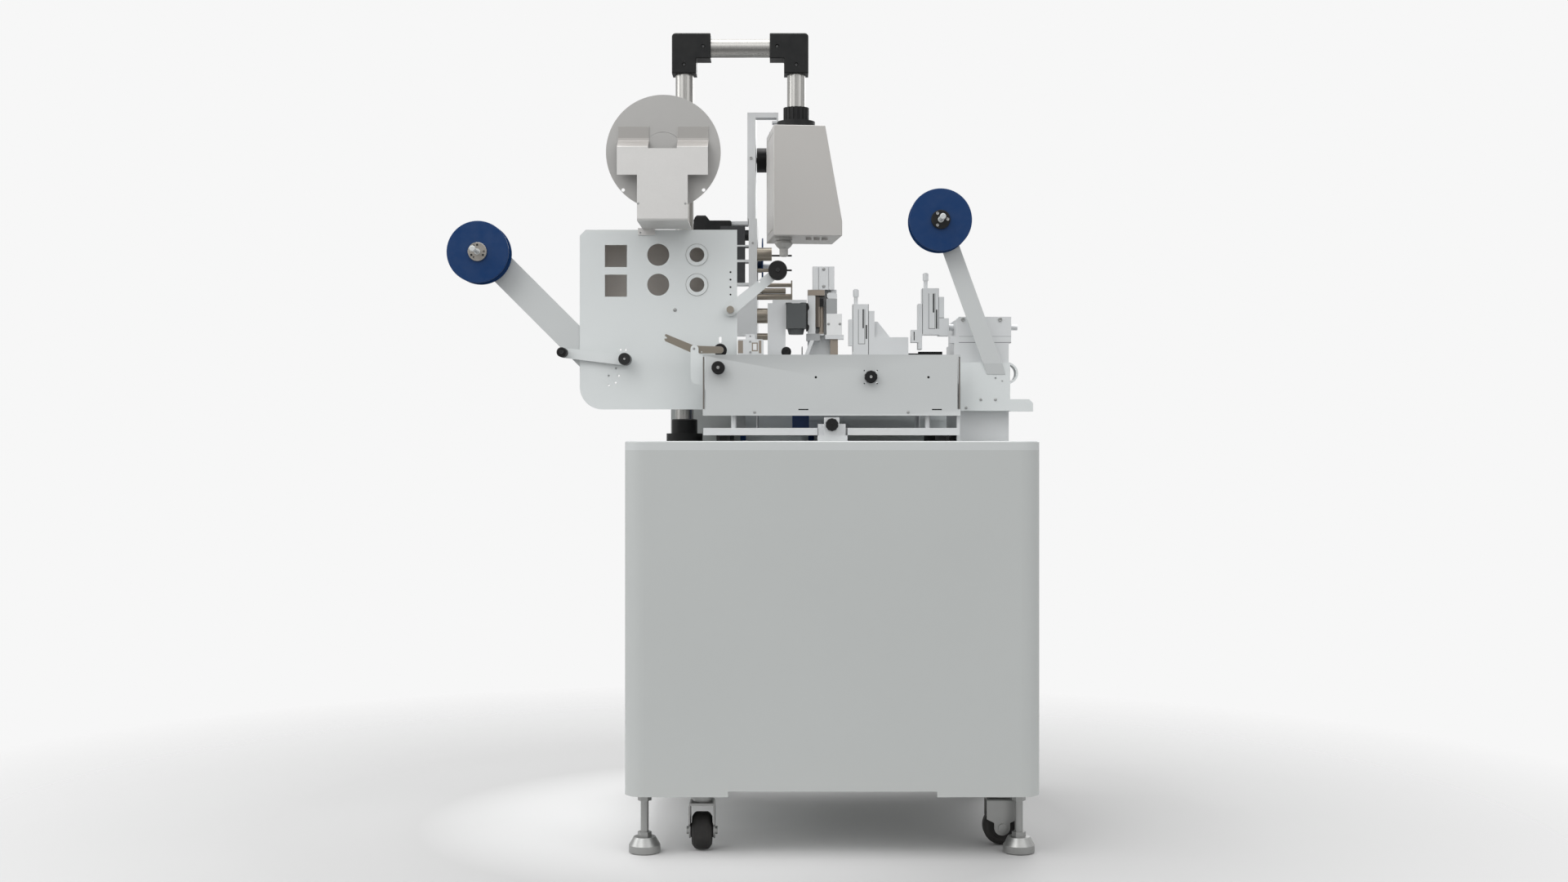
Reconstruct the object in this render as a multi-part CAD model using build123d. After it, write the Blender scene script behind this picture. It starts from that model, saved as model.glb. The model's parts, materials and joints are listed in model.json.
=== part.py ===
from build123d import *
import os

os.makedirs("parts", exist_ok=True)

# Overall sizes of the machine, in millimetres.
# X runs along the front, Y from the front to the back, Z up from the floor.
CABINET_W = 820.0
CABINET_D = 800.0
FLOOR_GAP = 122.0
TABLE_Z = 820.0
TABLE_T = 18.0
CORNER_R = 40.0
REEL_D = 125.0
REEL_W = 46.0
TUBE_R = 19.0
SHEET = 3.0

# Fits and clearances shared by the pieces that turn, slide or pass through others.
RUN_FIT = 0.05
FACE_GAP = 0.5
CUT_OVER = 2.0
PATH_GAP = 5.0

# Depth levels: how far behind the cabinet front each layer stands.
BRACKET_FRONT = 2.0
SLIDE_FRONT = 50.0
COVER_FRONT = 60.0
RIGHT_REEL_FRONT = 60.0
LEVER_BRACKET_FRONT = 90.0
LEFT_REEL_FRONT = 95.0
SIDE_PLATE_FRONT = 115.0
PANEL_FRONT = 150.0
MECH_FRONT = 200.0
ARM_Y = 270.0
TOWER_FRONT = 400.0

# Heights and places of the two tape reels. Heights over the worktop are measured from it.
LEFT_REEL_X = -711.5
LEFT_REEL_Z = 380.5
RIGHT_REEL_X = 217.0
RIGHT_REEL_Z = 441.0

# The machine is drawn from the cabinet's middle, then moved so that the zero point
# lies on the floor under the middle of its outline.
LEFT_END = LEFT_REEL_X - REEL_D / 2
RIGHT_END = CABINET_W / 2
SHIFT_X = -(LEFT_END + RIGHT_END) / 2
SHIFT_Y = -CABINET_D / 2


# Small helpers for plain forms.
def block(x0, x1, y0, y1, z0, z1):
    centre = Pos((x0 + x1) / 2, (y0 + y1) / 2, (z0 + z1) / 2)
    return centre * Box(x1 - x0, y1 - y0, z1 - z0)


def rod_x(x0, x1, y, z, radius):
    return Pos((x0 + x1) / 2, y, z) * Rot(0, 90, 0) * Cylinder(radius, x1 - x0)


def rod_y(x, y0, y1, z, radius):
    return Pos(x, (y0 + y1) / 2, z) * Rot(90, 0, 0) * Cylinder(radius, y1 - y0)


def rod_z(x, y, z0, z1, radius):
    return Pos(x, y, (z0 + z1) / 2) * Cylinder(radius, z1 - z0)


def outline_face(points, rounds):
    """A flat outline whose corners nearest to the given places are rounded."""
    face = make_face(Polyline(*points, close=True))
    for across, up, radius in rounds:
        corner = face.vertices().sort_by_distance(Vertex(across, up, 0))[0]
        face = fillet(corner, radius)
    return face


def plate_xz(points, front, thickness, rounds=()):
    face = Plane.XZ.offset(-front) * outline_face(points, rounds)
    return extrude(face, amount=-thickness)


def plate_yz(points, left, thickness, rounds=()):
    face = Plane.YZ.offset(left) * outline_face(points, rounds)
    return extrude(face, amount=thickness)


def link_xz(x0, z0, r0, x1, z1, r1, front, thickness):
    """A flat link: two round ends of any size joined by their common tangents."""
    hull = make_hull(
        (Pos(x0, z0) * CenterArc((0, 0), r0, 0, 360)).edges()
        + (Pos(x1, z1) * CenterArc((0, 0), r1, 0, 360)).edges()
    )
    face = Plane.XZ.offset(-front) * hull
    return extrude(face, amount=-thickness)


def turned_y(x, z, front, profile):
    """A turned piece along Y; the profile lists (depth behind front, radius)."""
    points = [(profile[0][0], 0.0), *profile, (profile[-1][0], 0.0)]
    face = make_face(Polyline(*[(radius, depth) for depth, radius in points], close=True))
    solid = revolve(face, Axis.Y, 360)
    return Pos(x, front, z) * solid


def ring_points(count, radius, start=0.0):
    """Places spread evenly on a circle, as (X, Z) steps from its middle."""
    places = []
    for index in range(count):
        spot = Vector(radius, 0, 0).rotate(Axis.Y, start + index * 360 / count)
        places.append((spot.X, spot.Z))
    return places


def save(shape, node):
    moved = Pos(SHIFT_X, SHIFT_Y, 0) * shape
    export_step(moved, "parts/" + node + ".step")


def save_on_table(shape, node):
    save(Pos(0, 0, TABLE_Z) * shape, node)


# Cabinet: one closed steel housing with a raised floor that carries feet and castors.
NOTCH_W = 410.0
NOTCH_H = 11.0
CABINET_WALL = 3.0
DOOR_MARGIN = 60.0
SEAM_W = 4.0
SEAM_DEEP = 1.2
TABLE_EDGE = 2.0
MOUNT_Z = FLOOR_GAP + NOTCH_H


def rounded_box(half_x, y0, y1, z0, z1, radius):
    body = block(-half_x, half_x, y0, y1, z0, z1)
    return fillet(body.edges().filter_by(Axis.Z), radius)


def door_seam(half_x, z0, z1):
    """The line around the service door in the back wall."""
    face = CABINET_D - SEAM_DEEP
    outer = block(-half_x, half_x, face, CABINET_D + CUT_OVER, z0, z1)
    inner_x = half_x - SEAM_W
    inner = block(-inner_x, inner_x, face - CUT_OVER, CABINET_D + 2 * CUT_OVER, z0 + SEAM_W, z1 - SEAM_W)
    return outer - inner


def cabinet():
    half_x = CABINET_W / 2
    top_z = TABLE_Z - TABLE_T
    body = rounded_box(half_x, 0, CABINET_D, FLOOR_GAP, top_z, CORNER_R)
    inner_x = half_x - CABINET_WALL
    inner_y = CABINET_D - CABINET_WALL
    inner_r = CORNER_R - CABINET_WALL
    body -= rounded_box(inner_x, CABINET_WALL, inner_y, FLOOR_GAP - CUT_OVER, MOUNT_Z, inner_r)
    half_notch = NOTCH_W / 2
    body -= block(-half_notch, half_notch, -CUT_OVER, 2 * CABINET_WALL, FLOOR_GAP - CUT_OVER, MOUNT_Z)
    return body - door_seam(half_x - DOOR_MARGIN, FLOOR_GAP + DOOR_MARGIN, top_z - DOOR_MARGIN)


def tabletop():
    top = rounded_box(CABINET_W / 2, 0, CABINET_D, TABLE_Z - TABLE_T, TABLE_Z, CORNER_R)
    return chamfer(top.faces().sort_by(Axis.Z)[-1].edges(), TABLE_EDGE)


# Levelling feet: a round pad, a cone, a threaded stud and two nuts.
FOOT_INSET_X = 37.0
FOOT_INSET_Y = 64.0
FOOT_PAD_R = 31.5
FOOT_PAD_H = 16.0
FOOT_CONE_R = 22.0
FOOT_CONE_H = 16.0
FOOT_STUD_R = 8.0
FOOT_NUT_AF = 24.0
FOOT_LOWER_NUT_H = 10.0
FOOT_TOP_NUT_H = 29.0
FOOT_EDGE = 2.5
FOOT_X = CABINET_W / 2 - FOOT_INSET_X
FOOT_REAR_Y = CABINET_D - FOOT_INSET_Y


def hex_nut(z0, height):
    hexagon = RegularPolygon(FOOT_NUT_AF / 2, 6, major_radius=False)
    return Pos(0, 0, z0) * extrude(hexagon, amount=height)


def levelling_foot():
    cone_z = FOOT_PAD_H + FOOT_CONE_H
    profile = [
        (0, 0),
        (FOOT_PAD_R - FOOT_EDGE, 0),
        (FOOT_PAD_R, FOOT_EDGE),
        (FOOT_PAD_R, FOOT_PAD_H),
        (FOOT_CONE_R, cone_z),
        (FOOT_STUD_R, cone_z),
        (FOOT_STUD_R, MOUNT_Z),
        (0, MOUNT_Z),
    ]
    foot = revolve(Plane.XZ * make_face(Polyline(*profile, close=True)), Axis.Z, 360)
    foot += hex_nut(cone_z, FOOT_LOWER_NUT_H)
    return foot + hex_nut(MOUNT_Z - FOOT_TOP_NUT_H, FOOT_TOP_NUT_H)


def levelling_feet():
    feet = []
    for x in (-FOOT_X, FOOT_X):
        for y in (FOOT_INSET_Y, FOOT_REAR_Y):
            feet.append(Pos(x, y, 0) * levelling_foot())
    return Compound(feet)


# Castors: a bolted plate with a swivel bearing, a bent fork and a wheel.
CASTER_LEFT_INSET = 150.5
CASTER_LEFT_Y = 90.0
CASTER_RIGHT_INSET = 64.5
CASTER_RIGHT_Y = 137.0
WHEEL_R = 37.0
WHEEL_W = 40.0
WHEEL_LIFT = 2.0
TREAD_FLAT = 22.0
TREAD_STEP = 2.5
TREAD_SHOULDER = 9.0
WHEEL_FACE_R = 25.0
WHEEL_DISH = 3.0
HUB_R = 14.0
HUB_W = 45.0
AXLE_R = 5.0
AXLE_HEAD_R = 8.0
AXLE_HEAD_H = 5.0
FORK_T = 3.0
FORK_INNER = 46.0
FORK_LEG_W = 62.0
FORK_TOP_Z = 98.0
FORK_TOP_T = 5.0
FORK_WIDE_H = 42.0
FORK_TAB_W = 32.0
FORK_BEND_R = 6.0
SWIVEL_DISC_R = 18.0
SWIVEL_DISC_H = 4.5
KINGPIN_R = 6.0
BEARING_R = 22.0
CASTER_PLATE_W = 80.0
CASTER_PLATE_D = 64.0
CASTER_PLATE_T = 4.0
CASTER_BOLT_INSET = 9.0
CASTER_BOLT_R = 3.5
CASTER_LEFT_X = CASTER_LEFT_INSET - CABINET_W / 2
CASTER_RIGHT_X = CABINET_W / 2 - CASTER_RIGHT_INSET
AXLE_Z = WHEEL_LIFT + WHEEL_R
DISC_TOP_Z = FORK_TOP_Z + SWIVEL_DISC_H


def caster_plate(x, y):
    half_x = CASTER_PLATE_W / 2
    half_y = CASTER_PLATE_D / 2
    low_z = MOUNT_Z - CASTER_PLATE_T
    plate = block(-half_x, half_x, -half_y, half_y, low_z, MOUNT_Z)
    for side_x in (-1, 1):
        for side_y in (-1, 1):
            bolt_x = side_x * (half_x - CASTER_BOLT_INSET)
            bolt_y = side_y * (half_y - CASTER_BOLT_INSET)
            plate -= rod_z(bolt_x, bolt_y, low_z - CUT_OVER, MOUNT_Z + CUT_OVER, CASTER_BOLT_R)
    plate += rod_z(0, 0, DISC_TOP_Z + FACE_GAP, low_z, BEARING_R)
    plate += rod_z(0, 0, FORK_TOP_Z - FORK_TOP_T, DISC_TOP_Z + FACE_GAP, KINGPIN_R)
    return Pos(x, y, 0) * plate


def caster_places():
    return (
        ("front_left", CASTER_LEFT_X, CASTER_LEFT_Y, 0),
        ("front_right", CASTER_RIGHT_X, CASTER_RIGHT_Y, 90),
        ("rear_left", CASTER_LEFT_X, CABINET_D - CASTER_LEFT_Y, 0),
        ("rear_right", CASTER_RIGHT_X, CABINET_D - CASTER_RIGHT_Y, 90),
    )


def caster_plates():
    return Compound([caster_plate(x, y) for place, x, y, turn in caster_places()])


def fork_blank(outer):
    """The fork as one bent strip seen from the front: two legs and a top with round bends."""
    inner = outer - FORK_T
    under = FORK_TOP_Z - FORK_TOP_T
    foot = AXLE_Z - FORK_TAB_W / 2
    points = [
        (-outer, foot),
        (-outer, FORK_TOP_Z),
        (outer, FORK_TOP_Z),
        (outer, foot),
        (inner, foot),
        (inner, under),
        (-inner, under),
        (-inner, foot),
    ]
    rounds = [(side * outer, FORK_TOP_Z, FORK_BEND_R) for side in (-1, 1)]
    half = FORK_LEG_W / 2
    return plate_xz(points, -half, FORK_LEG_W, rounds)


def fork_side():
    """The outline of a leg seen from the side, wide at the top and round at the axle."""
    half = FORK_LEG_W / 2
    tab = FORK_TAB_W / 2
    shoulder = FORK_TOP_Z - FORK_WIDE_H
    reach = FORK_INNER
    points = [
        (-half, FORK_TOP_Z),
        (half, FORK_TOP_Z),
        (half, shoulder),
        (tab, shoulder - (half - tab) / 2),
        (tab, AXLE_Z),
        (-tab, AXLE_Z),
        (-tab, shoulder - (half - tab) / 2),
        (-half, shoulder),
    ]
    side = plate_yz(points, -reach, 2 * reach)
    return side + rod_x(-reach, reach, 0, AXLE_Z, tab)


def caster_fork():
    outer = FORK_INNER / 2 + FORK_T
    fork = fork_blank(outer) & fork_side()
    fork += rod_z(0, 0, FORK_TOP_Z, DISC_TOP_Z, SWIVEL_DISC_R)
    fork -= rod_z(0, 0, FORK_TOP_Z - 2 * FORK_TOP_T, DISC_TOP_Z + CUT_OVER, KINGPIN_R + RUN_FIT)
    fork += rod_x(-outer, outer, 0, AXLE_Z, AXLE_R)
    for side in (-1, 1):
        near = side * outer
        far = side * (outer + AXLE_HEAD_H)
        fork += rod_x(min(near, far), max(near, far), 0, AXLE_Z, AXLE_HEAD_R)
    return fork


def caster_wheel():
    half = WHEEL_W / 2
    hub = HUB_W / 2
    flat = TREAD_FLAT / 2
    bore = AXLE_R + RUN_FIT
    right = [
        (hub, bore),
        (hub, HUB_R),
        (half - WHEEL_DISH, HUB_R),
        (half - WHEEL_DISH, WHEEL_FACE_R),
        (half, WHEEL_FACE_R),
        (half, WHEEL_R - TREAD_SHOULDER),
        ((half + flat) / 2, WHEEL_R - TREAD_STEP),
        (flat, WHEEL_R),
    ]
    left = [(-across, radius) for across, radius in reversed(right)]
    profile = make_face(Polyline(*right, *left, close=True))
    wheel = revolve(profile, Axis.X, 360)
    return Pos(0, 0, AXLE_Z) * wheel


# Overhead arm: three steel tubes, two clamp elbows and a base collar, all over the worktop.
POST_X = -304.5
DROP_X = -69.6
CROSS_Z = 826.5
ARM_TOP_Z = 854.0
ELBOW_LOW_Z = 770.0
ELBOW_LEG_H = 53.0
ELBOW_SIDE = 25.5
ELBOW_REACH = 55.5
ELBOW_R = 8.0
ELBOW_EDGE = 2.0
ELBOW_GRIP = 30.0
ELBOW_SCREW_R = 4.2
ELBOW_SCREW_DEEP = 4.0
ELBOW_SCREW_IN = 40.0
ELBOW_SCREW_DROP = 66.0
COLLAR_R = 27.0
COLLAR_H = 30.0
BASE_R = 38.0
BASE_H = 16.0
BASE_EDGE = 2.0
TUBE_SEAT = 1.0
FLUTES = 18
FLUTE_R = 2.0


def arm_base():
    top = BASE_H + COLLAR_H
    base = rod_z(POST_X, ARM_Y, 0, BASE_H, BASE_R)
    base += rod_z(POST_X, ARM_Y, BASE_H, top, COLLAR_R)
    base = chamfer(base.edges().group_by(Axis.Z)[-1], BASE_EDGE)
    return base - rod_z(POST_X, ARM_Y, TUBE_SEAT, top + CUT_OVER, TUBE_R)


def arm_tubes():
    grip_z = ELBOW_LOW_Z + ELBOW_GRIP
    post = rod_z(POST_X, ARM_Y, TUBE_SEAT, grip_z, TUBE_R)
    reach = ELBOW_REACH - ELBOW_GRIP
    cross = rod_x(POST_X + reach, DROP_X - reach, ARM_Y, CROSS_Z, TUBE_R)
    drop = rod_z(DROP_X, ARM_Y, HMI_TOP_Z + TUBE_SEAT, grip_z, TUBE_R)
    return Compound([post, cross, drop])


def arm_elbow(x, inward):
    """A moulded clamp that holds an upright and a level tube at a right angle."""
    outer_x = x - inward * ELBOW_SIDE
    end_x = x + inward * ELBOW_REACH
    inner_x = x + inward * ELBOW_SIDE
    under = ARM_TOP_Z - ELBOW_LEG_H
    points = [
        (outer_x, ARM_TOP_Z),
        (end_x, ARM_TOP_Z),
        (end_x, under),
        (inner_x, under),
        (inner_x, ELBOW_LOW_Z),
        (outer_x, ELBOW_LOW_Z),
    ]
    rounds = [(outer_x, ARM_TOP_Z, ELBOW_R), (end_x, ARM_TOP_Z, ELBOW_EDGE), (inner_x, under, ELBOW_EDGE)]
    elbow = plate_xz(points, ARM_Y - ELBOW_SIDE, 2 * ELBOW_SIDE, rounds)
    faces = elbow.faces().sort_by(Axis.Y)
    elbow = chamfer(faces[0].edges() + faces[-1].edges(), ELBOW_EDGE)
    elbow -= rod_z(x, ARM_Y, ELBOW_LOW_Z - CUT_OVER, ELBOW_LOW_Z + ELBOW_GRIP, TUBE_R)
    seat_x = x + inward * (ELBOW_REACH - ELBOW_GRIP)
    open_x = x + inward * (ELBOW_REACH + CUT_OVER)
    elbow -= rod_x(min(seat_x, open_x), max(seat_x, open_x), ARM_Y, CROSS_Z, TUBE_R)
    face = ARM_Y - ELBOW_SIDE
    screws = ((x + inward * ELBOW_SCREW_IN, CROSS_Z), (x, ARM_TOP_Z - ELBOW_SCREW_DROP))
    for screw_x, screw_z in screws:
        elbow -= rod_y(screw_x, face - CUT_OVER, face + ELBOW_SCREW_DEEP, screw_z, ELBOW_SCREW_R)
    return elbow


def arm_joints():
    return Compound([arm_base(), arm_elbow(POST_X, 1), arm_elbow(DROP_X, -1)])


# Operator screen: a wedge housing that hangs on the drop tube and looks to the right.
HMI_TOP_Z = 652.0
HMI_LOW_Z = 424.0
HMI_BACK_X = -55.0
HMI_TOP_X = 52.0
HMI_LIP_X = 87.5
HMI_LIP_H = 30.0
HMI_FRONT_Y = -80.0
HMI_REAR_Y = 85.0
HMI_TURN = 5.6
HMI_EDGE = 1.2
HMI_FLANGE_R = 40.0
HMI_FLANGE_H = 19.0
HMI_COLLAR_TOP = 700.5
FLUTE_START = 3.0
SCREEN_MARGIN = 16.0
SCREEN_DEEP = 3.0
SCREEN_R = 4.0
PLUG_R = 6.0
PLUG_H = 5.0
PLUG_X = 22.0
PLUG_STEP = 17.0
FITTING_X = -30.0
FITTING_Y = -38.0
DOOR_STEP = 14.0


def hmi_frame():
    return Pos(DROP_X, ARM_Y, 0) * Rot(0, 0, HMI_TURN)


def hmi_solid():
    points = [
        (HMI_BACK_X, HMI_TOP_Z),
        (HMI_TOP_X, HMI_TOP_Z),
        (HMI_LIP_X, HMI_LOW_Z + HMI_LIP_H),
        (HMI_LIP_X, HMI_LOW_Z),
        (HMI_BACK_X, HMI_LOW_Z),
    ]
    body = plate_xz(points, HMI_FRONT_Y, HMI_REAR_Y - HMI_FRONT_Y)
    return chamfer(body.edges(), HMI_EDGE)


def screen_pane():
    top = Vector(HMI_TOP_X, 0, HMI_TOP_Z)
    low = Vector(HMI_LIP_X, 0, HMI_LOW_Z + HMI_LIP_H)
    along = (low - top).normalized()
    outward = Vector(-along.Z, 0, along.X)
    middle = (top + low) * 0.5 + Vector(0, (HMI_FRONT_Y + HMI_REAR_Y) / 2, 0)
    plane = Plane(origin=middle - outward * SCREEN_DEEP, x_dir=(0, 1, 0), z_dir=outward)
    width = HMI_REAR_Y - HMI_FRONT_Y - 2 * SCREEN_MARGIN
    height = (low - top).length - 2 * SCREEN_MARGIN
    return extrude(plane * RectangleRounded(width, height, SCREEN_R), amount=SCREEN_DEEP)


def hmi_door_line():
    """The groove around the service door on the side that looks left."""
    face = HMI_BACK_X + SEAM_DEEP
    y0 = HMI_FRONT_Y + DOOR_STEP
    y1 = HMI_REAR_Y - DOOR_STEP
    z0 = HMI_LOW_Z + DOOR_STEP
    z1 = HMI_TOP_Z - DOOR_STEP
    line = SEAM_DEEP
    outer = block(HMI_BACK_X - CUT_OVER, face, y0, y1, z0, z1)
    return outer - block(HMI_BACK_X - 2 * CUT_OVER, face + CUT_OVER, y0 + line, y1 - line, z0 + line, z1 - line)


def cable_fitting():
    """A turned metal cable entry under the housing, seen as rings that get smaller."""
    upper = [(0.0, 0.0), (18.0, 0.0), (18.0, -6.0), (14.0, -6.0), (19.0, -13.0)]
    lower = [(15.0, -19.0), (9.0, -24.0), (9.0, -38.0), (6.0, -40.0), (0.0, -40.0)]
    profile = upper + lower
    fitting = revolve(Plane.XZ * make_face(Polyline(*profile, close=True)), Axis.Z, 360)
    return Pos(FITTING_X, FITTING_Y, HMI_LOW_Z) * fitting


def hmi_box():
    body = hmi_solid() - screen_pane() - hmi_door_line() + cable_fitting()
    return hmi_frame() * body


def hmi_screen():
    return hmi_frame() * screen_pane()


def hmi_black_fittings():
    """The fluted collar around the drop tube and the plugs under the housing."""
    flange_top = HMI_TOP_Z + HMI_FLANGE_H
    collar = rod_z(DROP_X, ARM_Y, flange_top, HMI_COLLAR_TOP, COLLAR_R)
    for index in range(FLUTES):
        turned = Pos(DROP_X, ARM_Y, 0) * Rot(0, 0, index * 360 / FLUTES)
        flute = rod_z(COLLAR_R, 0, flange_top + FLUTE_START, HMI_COLLAR_TOP + CUT_OVER, FLUTE_R)
        collar -= turned * flute
    collar += rod_z(DROP_X, ARM_Y, HMI_TOP_Z, flange_top, HMI_FLANGE_R)
    collar -= rod_z(DROP_X, ARM_Y, HMI_TOP_Z - CUT_OVER, HMI_COLLAR_TOP + CUT_OVER, TUBE_R + RUN_FIT)
    pieces = [collar]
    for index in range(3):
        x = PLUG_X + index * PLUG_STEP
        pieces.append(hmi_frame() * rod_z(x, FITTING_Y, HMI_LOW_Z - PLUG_H, HMI_LOW_Z, PLUG_R))
    return Compound(pieces)


# Instrument panel: a sheet with cut-outs, a box behind it, and the pins the guide arms turn on.
PANEL_X0 = -512.0
PANEL_X1 = -191.0
PANEL_Z0 = 64.5
PANEL_Z1 = 431.0
PANEL_CHAMFER = 12.0
PANEL_CORNER_R = 46.0
SQUARE_CUT = 45.0
SQUARE_X = -438.3
SQUARE_Z = (377.5, 317.0)
ROUND_CUT_R = 22.5
ROUND_X = -351.9
SMALL_CUT_R = 15.0
SMALL_RING_R = 22.0
SMALL_RING_T = 0.6
SMALL_X = -272.9
CUT_Z = (380.0, 319.0)
HOLE_COLUMN_X = -204.4
HOLE_COLUMN_Z0 = 298.8
HOLE_COLUMN_STEP = 15.3
HOLE_COLUMN_COUNT = 4
PANEL_SLOT_X = -225.3
PANEL_SLOT_Z = 206.8
PANEL_SLOT_W = 5.3
PANEL_SLOT_H = 12.5
SMALL_HOLE_R = 2.0
BOX_DEEP = 80.0
BOX_X0 = -485.0
BOX_X1 = -240.0
BOX_Z0 = 280.0
BOX_Z1 = 420.0
PANEL_BACK = PANEL_FRONT + SHEET

# Places of the screw holes for the arm stops, as steps from the tension arm's pivot.
STOP_STEPS_UP = ((-11.2, 20.6), (-0.7, 20.6))
STOP_STEPS_DOWN = ((-20.6, -17.3), (-35.7, -32.3), (-15.1, -32.3), (-21.4, -46.6), (-35.2, -51.8))


def panel_sheet():
    points = [(PANEL_X0, PANEL_Z0), (PANEL_X1, PANEL_Z0), (PANEL_X1, PANEL_Z1), (PANEL_X0, PANEL_Z1)]
    sheet = plate_xz(points, PANEL_FRONT, SHEET, [(PANEL_X0, PANEL_Z0, PANEL_CORNER_R)])
    corner = Vertex(PANEL_X0, PANEL_FRONT, PANEL_Z1)
    top_left = sheet.edges().filter_by(Axis.Y).sort_by_distance(corner)[0]
    return chamfer(top_left, PANEL_CHAMFER)


def panel_openings():
    y0 = PANEL_FRONT - CUT_OVER
    y1 = PANEL_BACK + CUT_OVER
    half = SQUARE_CUT / 2
    cuts = [block(SQUARE_X - half, SQUARE_X + half, y0, y1, z - half, z + half) for z in SQUARE_Z]
    for z in CUT_Z:
        cuts.append(rod_y(ROUND_X, y0, y1, z, ROUND_CUT_R))
        cuts.append(rod_y(SMALL_X, y0, y1, z, SMALL_CUT_R))
    for index in range(HOLE_COLUMN_COUNT):
        z = HOLE_COLUMN_Z0 + index * HOLE_COLUMN_STEP
        cuts.append(rod_y(HOLE_COLUMN_X, y0, y1, z, SMALL_HOLE_R))
    for step_x, step_z in (*STOP_STEPS_UP, *STOP_STEPS_DOWN):
        cuts.append(rod_y(TENSION_X + step_x, y0, y1, TENSION_Z + step_z, SMALL_HOLE_R))
    slot = Plane.XZ.offset(-y0) * Pos(PANEL_SLOT_X, PANEL_SLOT_Z) * SlotOverall(PANEL_SLOT_H, PANEL_SLOT_W, 90)
    cuts.append(extrude(slot, amount=y0 - y1))
    return cuts


def guide_pin(x, z):
    """A shouldered pin on the panel that a guide arm swings on."""
    shoulder = GUIDE_ARM_FRONT + GUIDE_ARM_T + FACE_GAP
    pin = rod_y(x, shoulder, PANEL_FRONT, z, 2 * PIVOT_PIN_R)
    return pin + rod_y(x, GUIDE_ARM_FRONT - PIVOT_CAP_GRIP, PANEL_FRONT, z, PIVOT_PIN_R)


def instrument_panel():
    panel = panel_sheet()
    for z in CUT_Z:
        panel += rod_y(SMALL_X, PANEL_FRONT - SMALL_RING_T, PANEL_FRONT, z, SMALL_RING_R)
    for cut in panel_openings():
        panel -= cut
    panel += guide_pin(TENSION_X, TENSION_Z)
    return panel + guide_pin(DANCER_X, DANCER_Z)


def instrument_box():
    outer = block(BOX_X0, BOX_X1, PANEL_BACK, PANEL_BACK + BOX_DEEP, BOX_Z0, BOX_Z1)
    inner = block(
        BOX_X0 + SHEET,
        BOX_X1 - SHEET,
        PANEL_BACK - CUT_OVER,
        PANEL_BACK + BOX_DEEP - SHEET,
        BOX_Z0 + SHEET,
        BOX_Z1 - SHEET,
    )
    return outer - inner


# Upright bracket: one sheet cut as a T and folded, with two ears that hold the backing disc.
STEM_X0 = -383.5
STEM_X1 = -284.0
BAR_X0 = -423.0
BAR_X1 = -244.5
BAR_Z0 = 522.0
BAR_Z1 = 577.0
BAR_STEP = 3.0
STEM_Z0 = 432.0
EAR_W = 61.0
EAR_DEEP = 28.0
EAR_RISE = 16.0
EAR_TAB_H = 28.5
FOLD_T = 2.5
FOLD_R = 2.0
TAB_X0 = -393.0
TAB_X1 = -358.0
TAB_DROP = 12.0
TAB_HOLE_X = -388.0
TAB_HOLE_UP = 4.5
DISC_R = 113.5
DISC_T = 3.0
DISC_Z = 571.0
DISC_RING_R = 40.0
DISC_GROOVE = 0.8
DISC_GROOVE_W = 1.5
DISC_HOLE_R = 3.5
DISC_HOLE_X = 79.6
DISC_HOLE_DROP = 74.6
DISC_X = (STEM_X0 + STEM_X1) / 2
DISC_FRONT = BRACKET_FRONT + EAR_DEEP + FOLD_T


def bracket_ear(x0):
    """An ear that steps back from the bar's top edge and rises again as a tab."""
    y0 = BRACKET_FRONT
    y1 = BRACKET_FRONT + EAR_DEEP
    foot = BAR_Z1 + EAR_RISE
    top = foot + EAR_TAB_H
    points = [
        (y0, BAR_Z1 - FOLD_T),
        (y0, BAR_Z1),
        (y1, foot),
        (y1, top),
        (y1 + FOLD_T, top),
        (y1 + FOLD_T, foot - FOLD_T),
        (y0 + FOLD_T, BAR_Z1 - FOLD_T),
    ]
    rounds = [(y1, foot, FOLD_R), (y1 + FOLD_T, foot - FOLD_T, FOLD_R + FOLD_T)]
    return plate_yz(points, x0, EAR_W, rounds)


def bracket_stem():
    """The upright face and the shelf under it, folded from one strip."""
    y0 = BRACKET_FRONT
    low = STEM_Z0
    points = [
        (y0, BAR_Z1),
        (y0 + FOLD_T, BAR_Z1),
        (y0 + FOLD_T, low + FOLD_T),
        (PANEL_FRONT, low + FOLD_T),
        (PANEL_FRONT, low),
        (y0, low),
    ]
    rounds = [(y0, low, FOLD_R + FOLD_T), (y0 + FOLD_T, low + FOLD_T, FOLD_R)]
    return plate_yz(points, STEM_X0, STEM_X1 - STEM_X0, rounds)


def t_bracket():
    bracket = bracket_stem()
    bracket += block(BAR_X0, BAR_X1, BRACKET_FRONT, BRACKET_FRONT + FOLD_T, BAR_Z0, BAR_Z1)
    step_x0 = BAR_X0 + EAR_W
    step_x1 = BAR_X1 - EAR_W
    back = BRACKET_FRONT + FOLD_T + CUT_OVER
    bracket -= block(step_x0, step_x1, 0, back, BAR_Z1 - BAR_STEP, BAR_Z1 + CUT_OVER)
    tab_low = STEM_Z0 - TAB_DROP
    bracket += block(TAB_X0, TAB_X1, PANEL_FRONT - FOLD_T, PANEL_FRONT, tab_low, STEM_Z0 + FOLD_T)
    hole_z = tab_low + TAB_HOLE_UP
    bracket -= rod_y(TAB_HOLE_X, PANEL_FRONT - 2 * FOLD_T, PANEL_FRONT + CUT_OVER, hole_z, SMALL_HOLE_R)
    bracket += bracket_ear(BAR_X0)
    return bracket + bracket_ear(BAR_X1 - EAR_W)


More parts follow.
